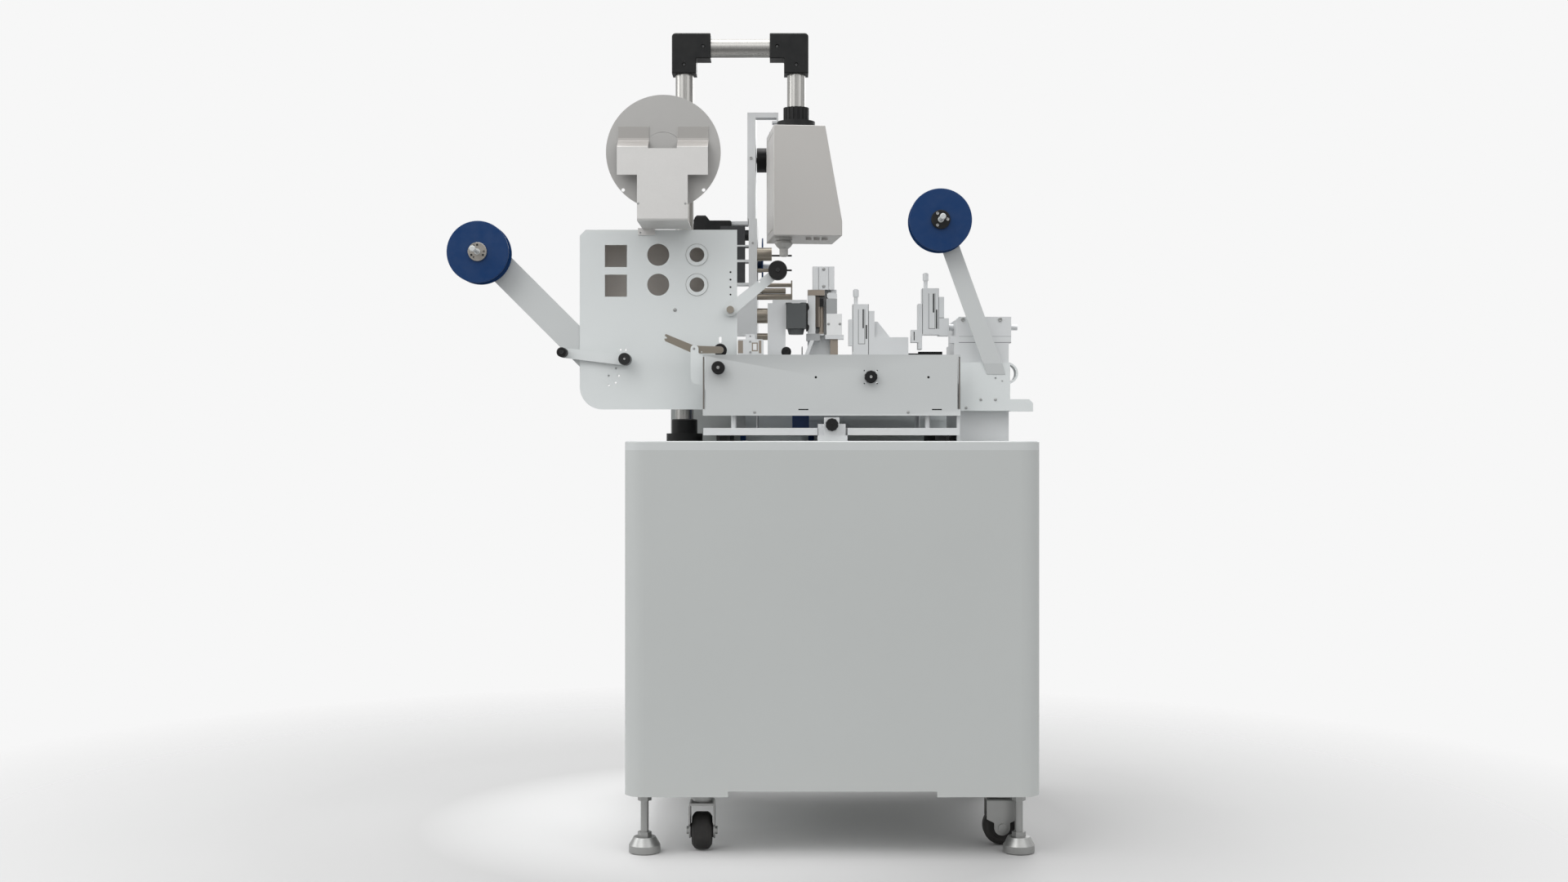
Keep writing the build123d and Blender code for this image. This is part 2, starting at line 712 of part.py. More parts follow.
def backing_disc():
    front = DISC_FRONT
    disc = rod_y(DISC_X, front, front + DISC_T, DISC_Z, DISC_R)
    ring = rod_y(DISC_X, front - CUT_OVER, front + DISC_GROOVE, DISC_Z, DISC_RING_R)
    ring -= rod_y(DISC_X, front - 2 * CUT_OVER, front + DISC_T, DISC_Z, DISC_RING_R - DISC_GROOVE_W)
    disc -= ring
    for side in (-1, 1):
        x = DISC_X + side * DISC_HOLE_X
        disc -= rod_y(x, front - CUT_OVER, front + DISC_T + CUT_OVER, DISC_Z - DISC_HOLE_DROP, DISC_HOLE_R)
    return disc


# Tape reels, their hubs, and the strips that carry them.
FLANGE_T = 3.0
RIM_EDGE = 0.8
REEL_CORE_R = 27.0
REEL_BORE_R = 14.0
REEL_BOSS_R = 19.0
REEL_BOSS_H = 5.0
HUB_HOLE_COUNT = 3
HUB_HOLE_R = 2.5
HUB_HOLE_RING = 13.5
SPINDLE_R = 6.0
SPINDLE_NECK_R = 3.8
SPINDLE_TIP_R = 4.5
SPINDLE_TIP_H = 1.5
SPINDLE_KNOB_H = 6.0
LEFT_SPINDLE_TIP = 30.0
RIGHT_SPINDLE_TIP = 4.0
ARM_T = 4.0
LEFT_ARM_R = 29.5
LEFT_ARM_TOP = (-700.0, 381.1)
LEFT_ARM_LOW = (-462.0, 143.1)
LEFT_ARM_FRONT = PANEL_BACK
RIGHT_ARM_R = 17.85
RIGHT_ARM_TOP = (222.9, 441.0)
RIGHT_ARM_LOW = (325.8, 157.0)
RIGHT_ARM_FRONT = SIDE_PLATE_FRONT - ARM_T
WEDGE_OUTLINE = ((307.0, 157.0), (345.3, 157.0), (352.0, 134.5), (315.2, 134.5))
WEDGE_TIP_T = 1.0


def reel(x, front, z):
    """Two flanges with chamfered rims on a core, turned in one profile."""
    rim = REEL_D / 2
    inside = REEL_W - FLANGE_T
    profile = [
        (0.0, rim - RIM_EDGE),
        (RIM_EDGE, rim),
        (FLANGE_T, rim),
        (FLANGE_T, REEL_CORE_R),
        (inside, REEL_CORE_R),
        (inside, rim),
        (REEL_W - RIM_EDGE, rim),
        (REEL_W, rim - RIM_EDGE),
    ]
    body = turned_y(x, z, front, profile)
    return body - rod_y(x, front - CUT_OVER, front + REEL_W + CUT_OVER, z, REEL_BORE_R)


def reel_hub(x, front, z):
    profile = [
        (-REEL_BOSS_H, REEL_BOSS_R - RIM_EDGE),
        (RIM_EDGE - REEL_BOSS_H, REEL_BOSS_R),
        (0.0, REEL_BOSS_R),
        (0.0, REEL_BORE_R),
        (REEL_W, REEL_BORE_R),
    ]
    hub = turned_y(x, z, front, profile)
    for step_x, step_z in ring_points(HUB_HOLE_COUNT, HUB_HOLE_RING):
        hub -= rod_y(x + step_x, front - 2 * REEL_BOSS_H, front - RIM_EDGE, z + step_z, HUB_HOLE_R)
    return hub - rod_y(x, front - 2 * REEL_BOSS_H, front + REEL_W + CUT_OVER, z, SPINDLE_R + RUN_FIT)


def spindle(x, z, tip, reel_front, seat):
    """A pin through the hub, a thin neck in front of it and a knob at the tip."""
    neck_end = reel_front - REEL_BOSS_H - tip
    profile = [
        (0.0, SPINDLE_TIP_R),
        (SPINDLE_TIP_H, SPINDLE_R),
        (SPINDLE_KNOB_H, SPINDLE_R),
        (SPINDLE_KNOB_H, SPINDLE_NECK_R),
        (neck_end, SPINDLE_NECK_R),
        (neck_end, SPINDLE_R),
        (seat - tip, SPINDLE_R),
    ]
    pin = turned_y(x, z, tip, profile)
    return pin + rod_y(x, reel_front + REEL_W + FACE_GAP, seat, z, REEL_BORE_R)


def left_reel_arm():
    top_x, top_z = LEFT_ARM_TOP
    low_x, low_z = LEFT_ARM_LOW
    arm = link_xz(top_x, top_z, LEFT_ARM_R, low_x, low_z, LEFT_ARM_R, LEFT_ARM_FRONT, ARM_T)
    return arm + spindle(LEFT_REEL_X, LEFT_REEL_Z, LEFT_SPINDLE_TIP, LEFT_REEL_FRONT, LEFT_ARM_FRONT)


def wedge_foot():
    """The foot of the right arm: its front slopes back as it runs down."""
    foot = plate_xz(list(WEDGE_OUTLINE), RIGHT_ARM_FRONT, ARM_T)
    top_z = WEDGE_OUTLINE[0][1]
    low_z = WEDGE_OUTLINE[-1][1]
    left = WEDGE_OUTLINE[0][0]
    width = WEDGE_OUTLINE[2][0] - left
    side = [
        (RIGHT_ARM_FRONT, top_z),
        (SIDE_PLATE_FRONT, top_z),
        (SIDE_PLATE_FRONT, low_z),
        (SIDE_PLATE_FRONT - WEDGE_TIP_T, low_z),
    ]
    return foot & plate_yz(side, left, width)


def right_reel_arm():
    top_x, top_z = RIGHT_ARM_TOP
    low_x, low_z = RIGHT_ARM_LOW
    arm = link_xz(top_x, top_z, RIGHT_ARM_R, low_x, low_z, RIGHT_ARM_R, RIGHT_ARM_FRONT, ARM_T)
    reach = 2 * RIGHT_ARM_R
    cut_y = SIDE_PLATE_FRONT + CUT_OVER
    arm -= block(low_x - reach, low_x + reach, RIGHT_ARM_FRONT - CUT_OVER, cut_y, low_z - reach, low_z)
    arm += wedge_foot()
    return arm + spindle(RIGHT_REEL_X, RIGHT_REEL_Z, RIGHT_SPINDLE_TIP, RIGHT_REEL_FRONT, RIGHT_ARM_FRONT)


# Tape guiding in front of the panel: tension arm, dancer arm, lever and rollers.
TENSION_X = -417.3
TENSION_Z = 165.6
TENSION_END_X = -544.5
TENSION_END_Z = 179.5
TENSION_ARM_R = 12.0
TENSION_ROLLER_R = 10.0
TENSION_CAP_R = 12.4
TENSION_CAP_BORE = 4.0
GUIDE_ARM_T = 4.0
GUIDE_ARM_FRONT = PANEL_FRONT - PATH_GAP - GUIDE_ARM_T
ROLLER_FRONT = 108.0
ROLLER_BACK = GUIDE_ARM_FRONT - FACE_GAP
ROLLER_EDGE = 1.5
PIVOT_PIN_R = 4.0
PIVOT_CAP_GRIP = 6.0
DANCER_X = -204.4
DANCER_Z = 267.0
DANCER_END_X = -107.8
DANCER_END_Z = 345.6
DANCER_PIVOT_R = 12.5
DANCER_ARM_R = 9.5
DANCER_ROLLER_R = 19.0
DANCER_CAP_R = 7.5
DANCER_CAP_H = 10.0
DANCER_HOLE = (-145.3, 324.4)


def guide_arm(x, z, r0, end_x, end_z, r1):
    arm = link_xz(x, z, r0, end_x, end_z, r1, GUIDE_ARM_FRONT, GUIDE_ARM_T)
    return arm + rod_y(end_x, ROLLER_FRONT - CUT_OVER, GUIDE_ARM_FRONT, end_z, PIVOT_PIN_R)


def pivot_bore(x, z):
    front = GUIDE_ARM_FRONT - PIVOT_CAP_GRIP - FACE_GAP
    return rod_y(x, front, GUIDE_ARM_FRONT + GUIDE_ARM_T + CUT_OVER, z, PIVOT_PIN_R + RUN_FIT)


def tension_arm():
    arm = guide_arm(TENSION_X, TENSION_Z, TENSION_ARM_R, TENSION_END_X, TENSION_END_Z, TENSION_ROLLER_R)
    arm += rod_y(TENSION_X, ROLLER_FRONT, GUIDE_ARM_FRONT, TENSION_Z, TENSION_CAP_R)
    arm -= rod_y(TENSION_X, ROLLER_FRONT - CUT_OVER, ROLLER_FRONT + TENSION_CAP_BORE, TENSION_Z, TENSION_CAP_BORE)
    return arm - pivot_bore(TENSION_X, TENSION_Z)


def dancer_arm():
    arm = guide_arm(DANCER_X, DANCER_Z, DANCER_PIVOT_R, DANCER_END_X, DANCER_END_Z, DANCER_ARM_R)
    arm += rod_y(DANCER_X, GUIDE_ARM_FRONT - DANCER_CAP_H, GUIDE_ARM_FRONT, DANCER_Z, DANCER_CAP_R)
    hole_x, hole_z = DANCER_HOLE
    back = GUIDE_ARM_FRONT + GUIDE_ARM_T + CUT_OVER
    arm -= rod_y(hole_x, GUIDE_ARM_FRONT - CUT_OVER, back, hole_z, SMALL_HOLE_R)
    return arm - pivot_bore(DANCER_X, DANCER_Z)


def roller(x, z, radius, front, back):
    length = back - front
    profile = [
        (0.0, radius - ROLLER_EDGE),
        (ROLLER_EDGE, radius),
        (length - ROLLER_EDGE, radius),
        (length, radius - ROLLER_EDGE),
    ]
    body = turned_y(x, z, front, profile)
    return body - rod_y(x, front - CUT_OVER, back + CUT_OVER, z, PIVOT_PIN_R + RUN_FIT)


LEVER_X = -275.0
LEVER_Z = 185.0
LEVER_T = 3.0
LEVER_END_X = -223.7
LEVER_END_Z = 183.3
LEVER_END_R = 7.0
LEVER_ROLLER_R = 13.0
LEVER_ROLLER_W = 22.0
LEVER_HOLE = (-261.0, 179.5)
LEVER_HOLE_R = 1.2
LEVER_BRACKET_T = 4.0
LEVER_BOSS_R = 7.0
LEVER_BOSS_H = 3.5
LEVER_EYE_R = 8.0
LEVER_BRACKET_HOLE = (-268.0, 137.7)
LEVER_FRONT = LEVER_BRACKET_FRONT + LEVER_BRACKET_T + LEVER_BOSS_H + FACE_GAP
LEVER_ROLLER_FRONT = LEVER_FRONT + LEVER_T + FACE_GAP


def tape_lever():
    """A flat lever with a thin curved tail on the left and a roller pin on the right."""
    points = [
        (-336.3, 206.0),
        (-330.0, 206.8),
        (-335.6, 212.6),
        (-333.0, 215.5),
        (-278.4, 193.1),
        (-262.0, 191.5),
        (LEVER_END_X, LEVER_END_Z + LEVER_END_R),
        (LEVER_END_X, LEVER_END_Z - LEVER_END_R),
        (-262.0, 176.0),
        (-282.8, 178.1),
        (-334.5, 201.0),
    ]
    lever = plate_xz(points, LEVER_FRONT, LEVER_T)
    lever += rod_y(LEVER_END_X, LEVER_FRONT, LEVER_FRONT + LEVER_T, LEVER_END_Z, LEVER_END_R)
    front = LEVER_FRONT - CUT_OVER
    back = LEVER_FRONT + LEVER_T + CUT_OVER
    lever -= rod_y(LEVER_HOLE[0], front, back, LEVER_HOLE[1], LEVER_HOLE_R)
    lever -= rod_y(LEVER_X, front, back, LEVER_Z, PIVOT_PIN_R + RUN_FIT)
    pin_end = LEVER_ROLLER_FRONT + LEVER_ROLLER_W
    return lever + rod_y(LEVER_END_X, LEVER_FRONT, pin_end, LEVER_END_Z, PIVOT_PIN_R)


def lever_bracket():
    points = [
        (-283.0, 185.0),
        (-283.0, 113.0),
        (-254.0, 113.0),
        (-254.0, 115.0),
        (-240.0, 115.0),
        (-240.0, 172.0),
        (-267.0, 172.0),
        (-267.0, 185.0),
    ]
    front = LEVER_BRACKET_FRONT
    back = front + LEVER_BRACKET_T
    bracket = plate_xz(points, front, LEVER_BRACKET_T, [(-283.0, 113.0, 16.0), (-267.0, 172.0, 7.0)])
    bracket += rod_y(LEVER_X, front, back, LEVER_Z, LEVER_EYE_R)
    hole_x, hole_z = LEVER_BRACKET_HOLE
    bracket -= rod_y(hole_x, front - CUT_OVER, back + CUT_OVER, hole_z, LEVER_HOLE_R)
    bracket += rod_y(LEVER_X, back, back + LEVER_BOSS_H, LEVER_Z, LEVER_BOSS_R)
    return bracket + rod_y(LEVER_X, front, LEVER_FRONT + LEVER_T + CUT_OVER, LEVER_Z, PIVOT_PIN_R)


# Front cover with its knob and roller, the deck, the base plate and its posts.
COVER_X0 = -257.0
COVER_X1 = 256.5
COVER_Z0 = 50.5
COVER_Z1 = 172.0
COVER_RETURN = 12.0
COVER_NOTCH_W = 6.0
COVER_NOTCH_LOW = 63.4
COVER_NOTCH_TOP = 168.0
COVER_HOLES = ((-31.8, 127.0), (192.6, 127.0))
COVER_HOLE_R = 2.5
COVER_SLOT_X = (-56.5, 209.5)
COVER_SLOT_Z = 62.6
COVER_SLOT_W = 20.0
COVER_SLOT_H = 2.5
COVER_SCREW_X = (-153.8, 152.1)
COVER_SCREW_Z = 57.4
COVER_KNOB_X = 77.6
COVER_KNOB_Z = 127.5
COVER_KNOB_R = 12.7
COVER_KNOB_OUT = 14.0
COVER_SHAFT_BACK = 16.0
KNOB_HOLE_STEP = 12.3
KNOB_HOLE_R = 1.8
KNOB_SHAFT_R = 4.0
KNOB_EDGE = 1.2
KNOB_FLUTES = 10
KNOB_FLUTE_R = 1.6
COVER_ROLLER_X = -225.8
COVER_ROLLER_Z = 145.3
COVER_ROLLER_R = 13.0
COVER_ROLLER_OUT = 24.0
DECK_Z = 115.0
DECK_T = 12.0
DECK_X0 = -253.0
DECK_X1 = 250.0
DECK_Y0 = COVER_FRONT + COVER_RETURN
DECK_Y1 = 370.0
DECK_LOW_Z = DECK_Z - DECK_T
BASE_X0 = -256.0
BASE_X1 = 254.5
BASE_Z0 = 11.5
BASE_Z1 = 26.0
BASE_GAP_X0 = -28.5
BASE_GAP_X1 = 31.5
BASE_GAP_DEEP = 20.0
BASE_POST_X = (-195.5, 192.0)
BASE_POST_R = 5.5
BASE_POST_INSET = 20.0
CHEEK_X1 = 256.5
WALL_X0 = -203.0
WALL_X1 = -175.0
WALL_Y0 = 200.0
WALL_T = 6.0
STAY_X = -150.0
STAY_R = 2.5


def front_cover():
    front = COVER_FRONT
    cover = block(COVER_X0, COVER_X1, front, front + SHEET, COVER_Z0, COVER_Z1)
    y0 = front - CUT_OVER
    y1 = front + SHEET + CUT_OVER
    cover -= block(COVER_X0 - CUT_OVER, COVER_X0 + COVER_NOTCH_W, y0, y1, COVER_NOTCH_LOW, COVER_NOTCH_TOP)
    cover -= block(COVER_X1 - COVER_NOTCH_W, COVER_X1 + CUT_OVER, y0, y1, COVER_NOTCH_LOW, COVER_NOTCH_TOP)
    for x0 in (COVER_X0, COVER_X1 - SHEET):
        cover += block(x0, x0 + SHEET, front + SHEET, DECK_Y0, COVER_Z0, COVER_Z1)
    for x, z in COVER_HOLES:
        cover -= rod_y(x, y0, y1, z, COVER_HOLE_R)
    for x in COVER_SCREW_X:
        cover -= rod_y(x, y0, y1, COVER_SCREW_Z, SMALL_HOLE_R)
    for step_x in (-KNOB_HOLE_STEP, KNOB_HOLE_STEP):
        for step_z in (-KNOB_HOLE_STEP, KNOB_HOLE_STEP):
            cover -= rod_y(COVER_KNOB_X + step_x, y0, y1, COVER_KNOB_Z + step_z, KNOB_HOLE_R)
    half = COVER_SLOT_W / 2
    for x in COVER_SLOT_X:
        cover -= block(x - half, x + half, y0, y1, COVER_SLOT_Z - COVER_SLOT_H / 2, COVER_SLOT_Z + COVER_SLOT_H / 2)
    cover -= rod_y(COVER_KNOB_X, y0, y1, COVER_KNOB_Z, KNOB_SHAFT_R + RUN_FIT)
    tip = front - COVER_ROLLER_OUT - CUT_OVER
    return cover + rod_y(COVER_ROLLER_X, tip, front, COVER_ROLLER_Z, PIVOT_PIN_R)


def fluted_knob(x, z, radius, front, back):
    length = back - front
    shoulder = radius - KNOB_EDGE
    profile = [(0.0, shoulder), (KNOB_EDGE, radius), (length - KNOB_EDGE, radius), (length, shoulder)]
    knob = turned_y(x, z, front, profile)
    for step_x, step_z in ring_points(KNOB_FLUTES, radius + KNOB_FLUTE_R / 2):
        knob -= rod_y(x + step_x, front - CUT_OVER, back + CUT_OVER, z + step_z, KNOB_FLUTE_R)
    return knob


def cover_knob():
    back = COVER_FRONT - FACE_GAP
    knob = fluted_knob(COVER_KNOB_X, COVER_KNOB_Z, COVER_KNOB_R, back - COVER_KNOB_OUT, back)
    return knob + rod_y(COVER_KNOB_X, back, COVER_FRONT + COVER_SHAFT_BACK, COVER_KNOB_Z, KNOB_SHAFT_R)


def cover_roller():
    front = COVER_FRONT - COVER_ROLLER_OUT
    return roller(COVER_ROLLER_X, COVER_ROLLER_Z, COVER_ROLLER_R, front, COVER_FRONT - FACE_GAP)


def base_plate():
    plate = block(BASE_X0, BASE_X1, COVER_FRONT, DECK_Y1, BASE_Z0, BASE_Z1)
    low = BASE_Z0 - CUT_OVER
    top = BASE_Z1 + CUT_OVER
    plate -= block(BASE_GAP_X0, BASE_GAP_X1, COVER_FRONT - CUT_OVER, COVER_FRONT + BASE_GAP_DEEP, low, top)
    plate -= block(COLUMN_X0, BASE_X1 + CUT_OVER, PANEL_FRONT, DECK_Y1 + CUT_OVER, low, top)
    for x in BASE_POST_X:
        for y in (COVER_FRONT + BASE_POST_INSET, DECK_Y1 - BASE_POST_INSET):
            plate += rod_z(x, y, BASE_Z1, DECK_LOW_Z, BASE_POST_R)
    plate += block(WALL_X0, WALL_X1, WALL_Y0, WALL_Y0 + WALL_T, BASE_Z1, DECK_LOW_Z)
    return plate + rod_z(STAY_X, WALL_Y0, BASE_Z1, DECK_LOW_Z, STAY_R)


def deck():
    plate = block(DECK_X0, DECK_X1, COVER_FRONT + SHEET, DECK_Y1, DECK_LOW_Z, DECK_Z)
    low = DECK_LOW_Z - CUT_OVER
    plate -= block(DECK_X0 - CUT_OVER, PANEL_X1, PANEL_FRONT, PANEL_BACK, low, DECK_Z + CUT_OVER)
    return plate + block(DECK_X1, CHEEK_X1, DECK_Y0, PANEL_FRONT, 0, DECK_Z)


CLIP_X = (-216.5, 220.5)
CLIP_W = 27.0
RAIL_W = 15.0
RAIL_FLOOR = 3.0
RAIL_BACKSET = 4.0
GUARD_Y0 = 246.0
GUARD_T = 10.0
GUARD_X = (123.8, 185.8, 236.2)
GUARD_TOP = (183.4, 187.0)


def slide_rails():
    """Two black rails under the base plate and a black guard plate behind the slides."""
    rails = []
    front = COVER_FRONT + RAIL_BACKSET
    for x in CLIP_X:
        rail = block(x - CLIP_W / 2, x + CLIP_W / 2, front, DECK_Y1, 0, BASE_Z0)
        cut_end = front + RAIL_BACKSET
        half = RAIL_W / 2
        rail -= block(x - half, x + half, front - CUT_OVER, cut_end, -CUT_OVER, BASE_Z0 - RAIL_FLOOR)
        rails.append(rail)
    guard = block(GUARD_X[0], GUARD_X[1], GUARD_Y0, GUARD_Y0 + GUARD_T, DECK_Z, GUARD_TOP[0])
    guard += block(GUARD_X[1], GUARD_X[2], GUARD_Y0, GUARD_Y0 + GUARD_T, DECK_Z, GUARD_TOP[1])
    rails.append(guard)
    return Compound(rails)


SLIDE_KNOB_X = 0.0
SLIDE_KNOB_Z = 32.4
SLIDE_KNOB_R = 12.7
SLIDE_KNOB_OUT = 12.0
SLIDE_BLOCK_D = 24.0
SLIDE_STEP_Y = 2.0
SLIDE_NECK_D = 12.0


def slide_block():
    front = SLIDE_FRONT
    back = front + SLIDE_BLOCK_D
    step = front + SLIDE_STEP_Y
    neck = step + SLIDE_NECK_D
    body = block(BASE_GAP_X0, BASE_GAP_X1 - FACE_GAP, front, back, 0, 11.0)
    body += block(-15.5, 15.0, step, neck, 11.0, 47.0)
    body += block(-27.5, 27.5, neck, back, 11.0, 34.0)
    hole_end = step + SLIDE_NECK_D - FACE_GAP
    return body - rod_y(SLIDE_KNOB_X, front - CUT_OVER, hole_end, SLIDE_KNOB_Z, KNOB_SHAFT_R + RUN_FIT)


def slide_knob():
    back = SLIDE_FRONT + SLIDE_STEP_Y - FACE_GAP
    knob = fluted_knob(SLIDE_KNOB_X, SLIDE_KNOB_Z, SLIDE_KNOB_R, SLIDE_FRONT - SLIDE_KNOB_OUT, back)
    return knob + rod_y(SLIDE_KNOB_X, back, SLIDE_FRONT + SLIDE_NECK_D, SLIDE_KNOB_Z, KNOB_SHAFT_R)


def base_frame():
    return Compound([base_plate() + deck(), slide_block()])


FEEDER_X0 = -78.0
FEEDER_X1 = -43.5
FEEDER_Y0 = 200.0
FEEDER_Y1 = 330.0


def feeder_base():
    return block(FEEDER_X0, FEEDER_X1, FEEDER_Y0, FEEDER_Y1, BASE_Z1, DECK_LOW_Z)


# Film tower behind the panel with its motors, rollers and two reels.
TOWER_X0 = -172.0
TOWER_X1 = -154.0
TOWER_REAR = 640.0
TOWER_TOP_Z = 484.0
TOWER_STEP = 3.0
UPPER_REAR = 560.0
UPPER_TOP_Z = 715.0
BRANCH_X1 = -107.5
BRANCH_T = 11.0
BRANCH_D = 30.0
HOOK_X0 = -121.0
HOOK_X1 = -98.0
HOOK_Z0 = 693.0
HOOK_Z1 = 697.0
HOOK_T = 4.0
TOWER_WING_X0 = -197.2
TOWER_WING_Z0 = 227.6
TOWER_WING_Z1 = 302.2
TOWER_WING_T = 10.0
FILM_ROLLER_INSET = 16.0
BIG_FILM_ROLLER_R = 16.5
FILM_ROLLER_Y = TOWER_FRONT + FILM_ROLLER_INSET
FILM_REEL_Y = FILM_ROLLER_Y + BIG_FILM_ROLLER_R + REEL_D / 2 + PATH_GAP
UPPER_REEL_Z = 626.0
LOWER_REEL_Z = 389.5
UPPER_REEL_X = -128.0
LOWER_REEL_X = -144.5
UPPER_PIN_X = -74.0
LOWER_PIN_X = -118.0


def film_tower():
    upper_x0 = TOWER_X0 - TOWER_STEP
    upper_x1 = TOWER_X1 - TOWER_STEP
    low = block(TOWER_X0, TOWER_X1, TOWER_FRONT, TOWER_REAR, 0, TOWER_TOP_Z)
    high = block(upper_x0, upper_x1, TOWER_FRONT, UPPER_REAR, TOWER_TOP_Z, UPPER_TOP_Z)
    branch_end = TOWER_FRONT + BRANCH_D
    branch = block(upper_x0, BRANCH_X1, TOWER_FRONT, branch_end, UPPER_TOP_Z - BRANCH_T, UPPER_TOP_Z)
    hook = block(HOOK_X0, HOOK_X1, TOWER_FRONT, branch_end, HOOK_Z0, HOOK_Z1)
    riser_x0 = BRANCH_X1 - HOOK_T
    hook += block(riser_x0, BRANCH_X1, TOWER_FRONT, branch_end, HOOK_Z0, UPPER_TOP_Z)
    wing = block(TOWER_WING_X0, TOWER_X0, TOWER_FRONT, TOWER_FRONT + TOWER_WING_T, TOWER_WING_Z0, TOWER_WING_Z1)
    upper_pin = rod_x(upper_x1, UPPER_PIN_X, FILM_REEL_Y, UPPER_REEL_Z, SPINDLE_R)
    lower_pin = rod_x(TOWER_X1, LOWER_PIN_X, FILM_REEL_Y, LOWER_REEL_Z, SPINDLE_R)
    return low + high + branch + hook + wing + upper_pin + lower_pin


GEAR_X0 = -297.4
GEAR_X1 = -214.2
GEAR_Z = 458.7
GEAR_R = 29.5
GEAR_SHAFT_R = 12.0
GEAR_EDGE = 2.5
GEAR_LID_X0 = -293.8
GEAR_LID_X1 = -264.6
GEAR_LID_SLOPE = 5.0
GEAR_LID_TOP = 501.0
GEAR_HALF_D = 20.0
GEAR_BAR_LOW = 480.0
GEAR_BAR_TOP = 488.0
STACK_X0 = -235.0
STACK_X1 = -181.0
STACK_Y0 = 430.0
STACK_Y1 = 468.0
STACK_PLATE_X0 = -230.0
STACK_MOTORS = ((430.0, 471.6), (397.7, 426.5), (347.0, 392.3))
STACK_PLATES = ((426.5, 430.0), (392.3, 397.7), (342.0, 347.0))


def gear_motor():
    motor = rod_x(GEAR_X0, GEAR_X1, FILM_REEL_Y, GEAR_Z, GEAR_R)
    motor = chamfer(motor.faces().sort_by(Axis.X)[0].edges(), GEAR_EDGE)
    motor += rod_x(GEAR_X1, TOWER_X0, FILM_REEL_Y, GEAR_Z, GEAR_SHAFT_R)
    lid = [
        (GEAR_LID_X0, GEAR_Z),
        (GEAR_LID_X1, GEAR_Z),
        (GEAR_LID_X1, GEAR_LID_TOP - GEAR_LID_SLOPE),
        (GEAR_LID_X1 - GEAR_LID_SLOPE, GEAR_LID_TOP),
        (GEAR_LID_X0 + GEAR_LID_SLOPE, GEAR_LID_TOP),
        (GEAR_LID_X0, GEAR_LID_TOP - GEAR_LID_SLOPE),
    ]
    motor += plate_xz(lid, FILM_REEL_Y - GEAR_HALF_D, 2 * GEAR_HALF_D)
    y0 = FILM_REEL_Y - GEAR_HALF_D
    y1 = FILM_REEL_Y + GEAR_HALF_D
    bar_end = TOWER_X0 - TOWER_STEP
    return motor + block(GEAR_X1 - GEAR_EDGE, bar_end, y0, y1, GEAR_BAR_LOW, GEAR_BAR_TOP)


def motor_stack():
    """Small black motors one over the other, between plates that reach to the tower."""
    stack = []
    for low, top in STACK_MOTORS:
        stack.append(block(STACK_X0, STACK_X1, STACK_Y0, STACK_Y1, low, top))
    for low, top in STACK_PLATES:
        stack.append(block(STACK_PLATE_X0, TOWER_X0, STACK_Y0, STACK_Y1, low, top))
    return stack[0] + stack[1:]


def film_motors():
    return Compound([gear_motor(), motor_stack()])


# Film rollers: height over the worktop, radius, and where the roller ends.
FILM_ROLLERS = (
    (408.0, 14.5, -122.0),
    (405.0, 2.0, -78.0),
    (373.0, 4.0, -122.0),
    (373.0, 2.0, -78.0),
    (340.5, 4.5, -80.0),
    (328.0, 6.0, -91.5),
    (315.0, 6.7, -80.0),
    (273.5, BIG_FILM_ROLLER_R, -131.0),
    (228.0, 7.5, -130.0),
)
END_PLATE_X0 = -80.0
END_PLATE_T = 3.0
END_PLATE_HALF = 10.0
END_PLATE_Z0 = 306.0
END_PLATE_Z1 = 350.0


def film_rollers():
    rollers = [rod_x(TOWER_X1, end, FILM_ROLLER_Y, z, radius) for z, radius, end in FILM_ROLLERS]
    y0 = FILM_ROLLER_Y - END_PLATE_HALF
    y1 = FILM_ROLLER_Y + END_PLATE_HALF
    plate = block(END_PLATE_X0, END_PLATE_X0 + END_PLATE_T, y0, y1, END_PLATE_Z0, END_PLATE_Z1)
    return plate + rollers


CHUCK_X0 = -155.6
CHUCK_X1 = -134.3


def film_reel_bore(z, end_x):
    return rod_x(TOWER_X0, end_x, FILM_REEL_Y, z, SPINDLE_R + RUN_FIT)


def upper_film_reel():
    x0 = UPPER_REEL_X
    x1 = x0 + REEL_W
    body = rod_x(x0, x0 + FLANGE_T, FILM_REEL_Y, UPPER_REEL_Z, REEL_D / 2)
    body += rod_x(x1 - FLANGE_T, x1, FILM_REEL_Y, UPPER_REEL_Z, REEL_D / 2)
    body += rod_x(x0, x1, FILM_REEL_Y, UPPER_REEL_Z, REEL_CORE_R)
    body += rod_x(CHUCK_X1, x0, FILM_REEL_Y, UPPER_REEL_Z, REEL_BORE_R)
    body += rod_x(CHUCK_X0, CHUCK_X1, FILM_REEL_Y, UPPER_REEL_Z, REEL_CORE_R)
    return body - film_reel_bore(UPPER_REEL_Z, x1 + CUT_OVER)


def lower_film_reel():
    x0 = LOWER_REEL_X
    x1 = x0 + FLANGE_T
    body = rod_x(x0, x1, FILM_REEL_Y, LOWER_REEL_Z, REEL_D / 2)
    body += rod_x(TOWER_X1 + FACE_GAP, x1, FILM_REEL_Y, LOWER_REEL_Z, REEL_BORE_R)
    return body - film_reel_bore(LOWER_REEL_Z, x1 + CUT_OVER)


def rear_box():
    return block(-340.0, -190.0, 380.0, 560.0, 0, 85.0)


# Work station on the deck: valve, drive, press, cutter and two height slides.
VALVE_EDGE = 1.5
MECH_DEEP = 35.0
MECH_BACK = MECH_FRONT + MECH_DEEP


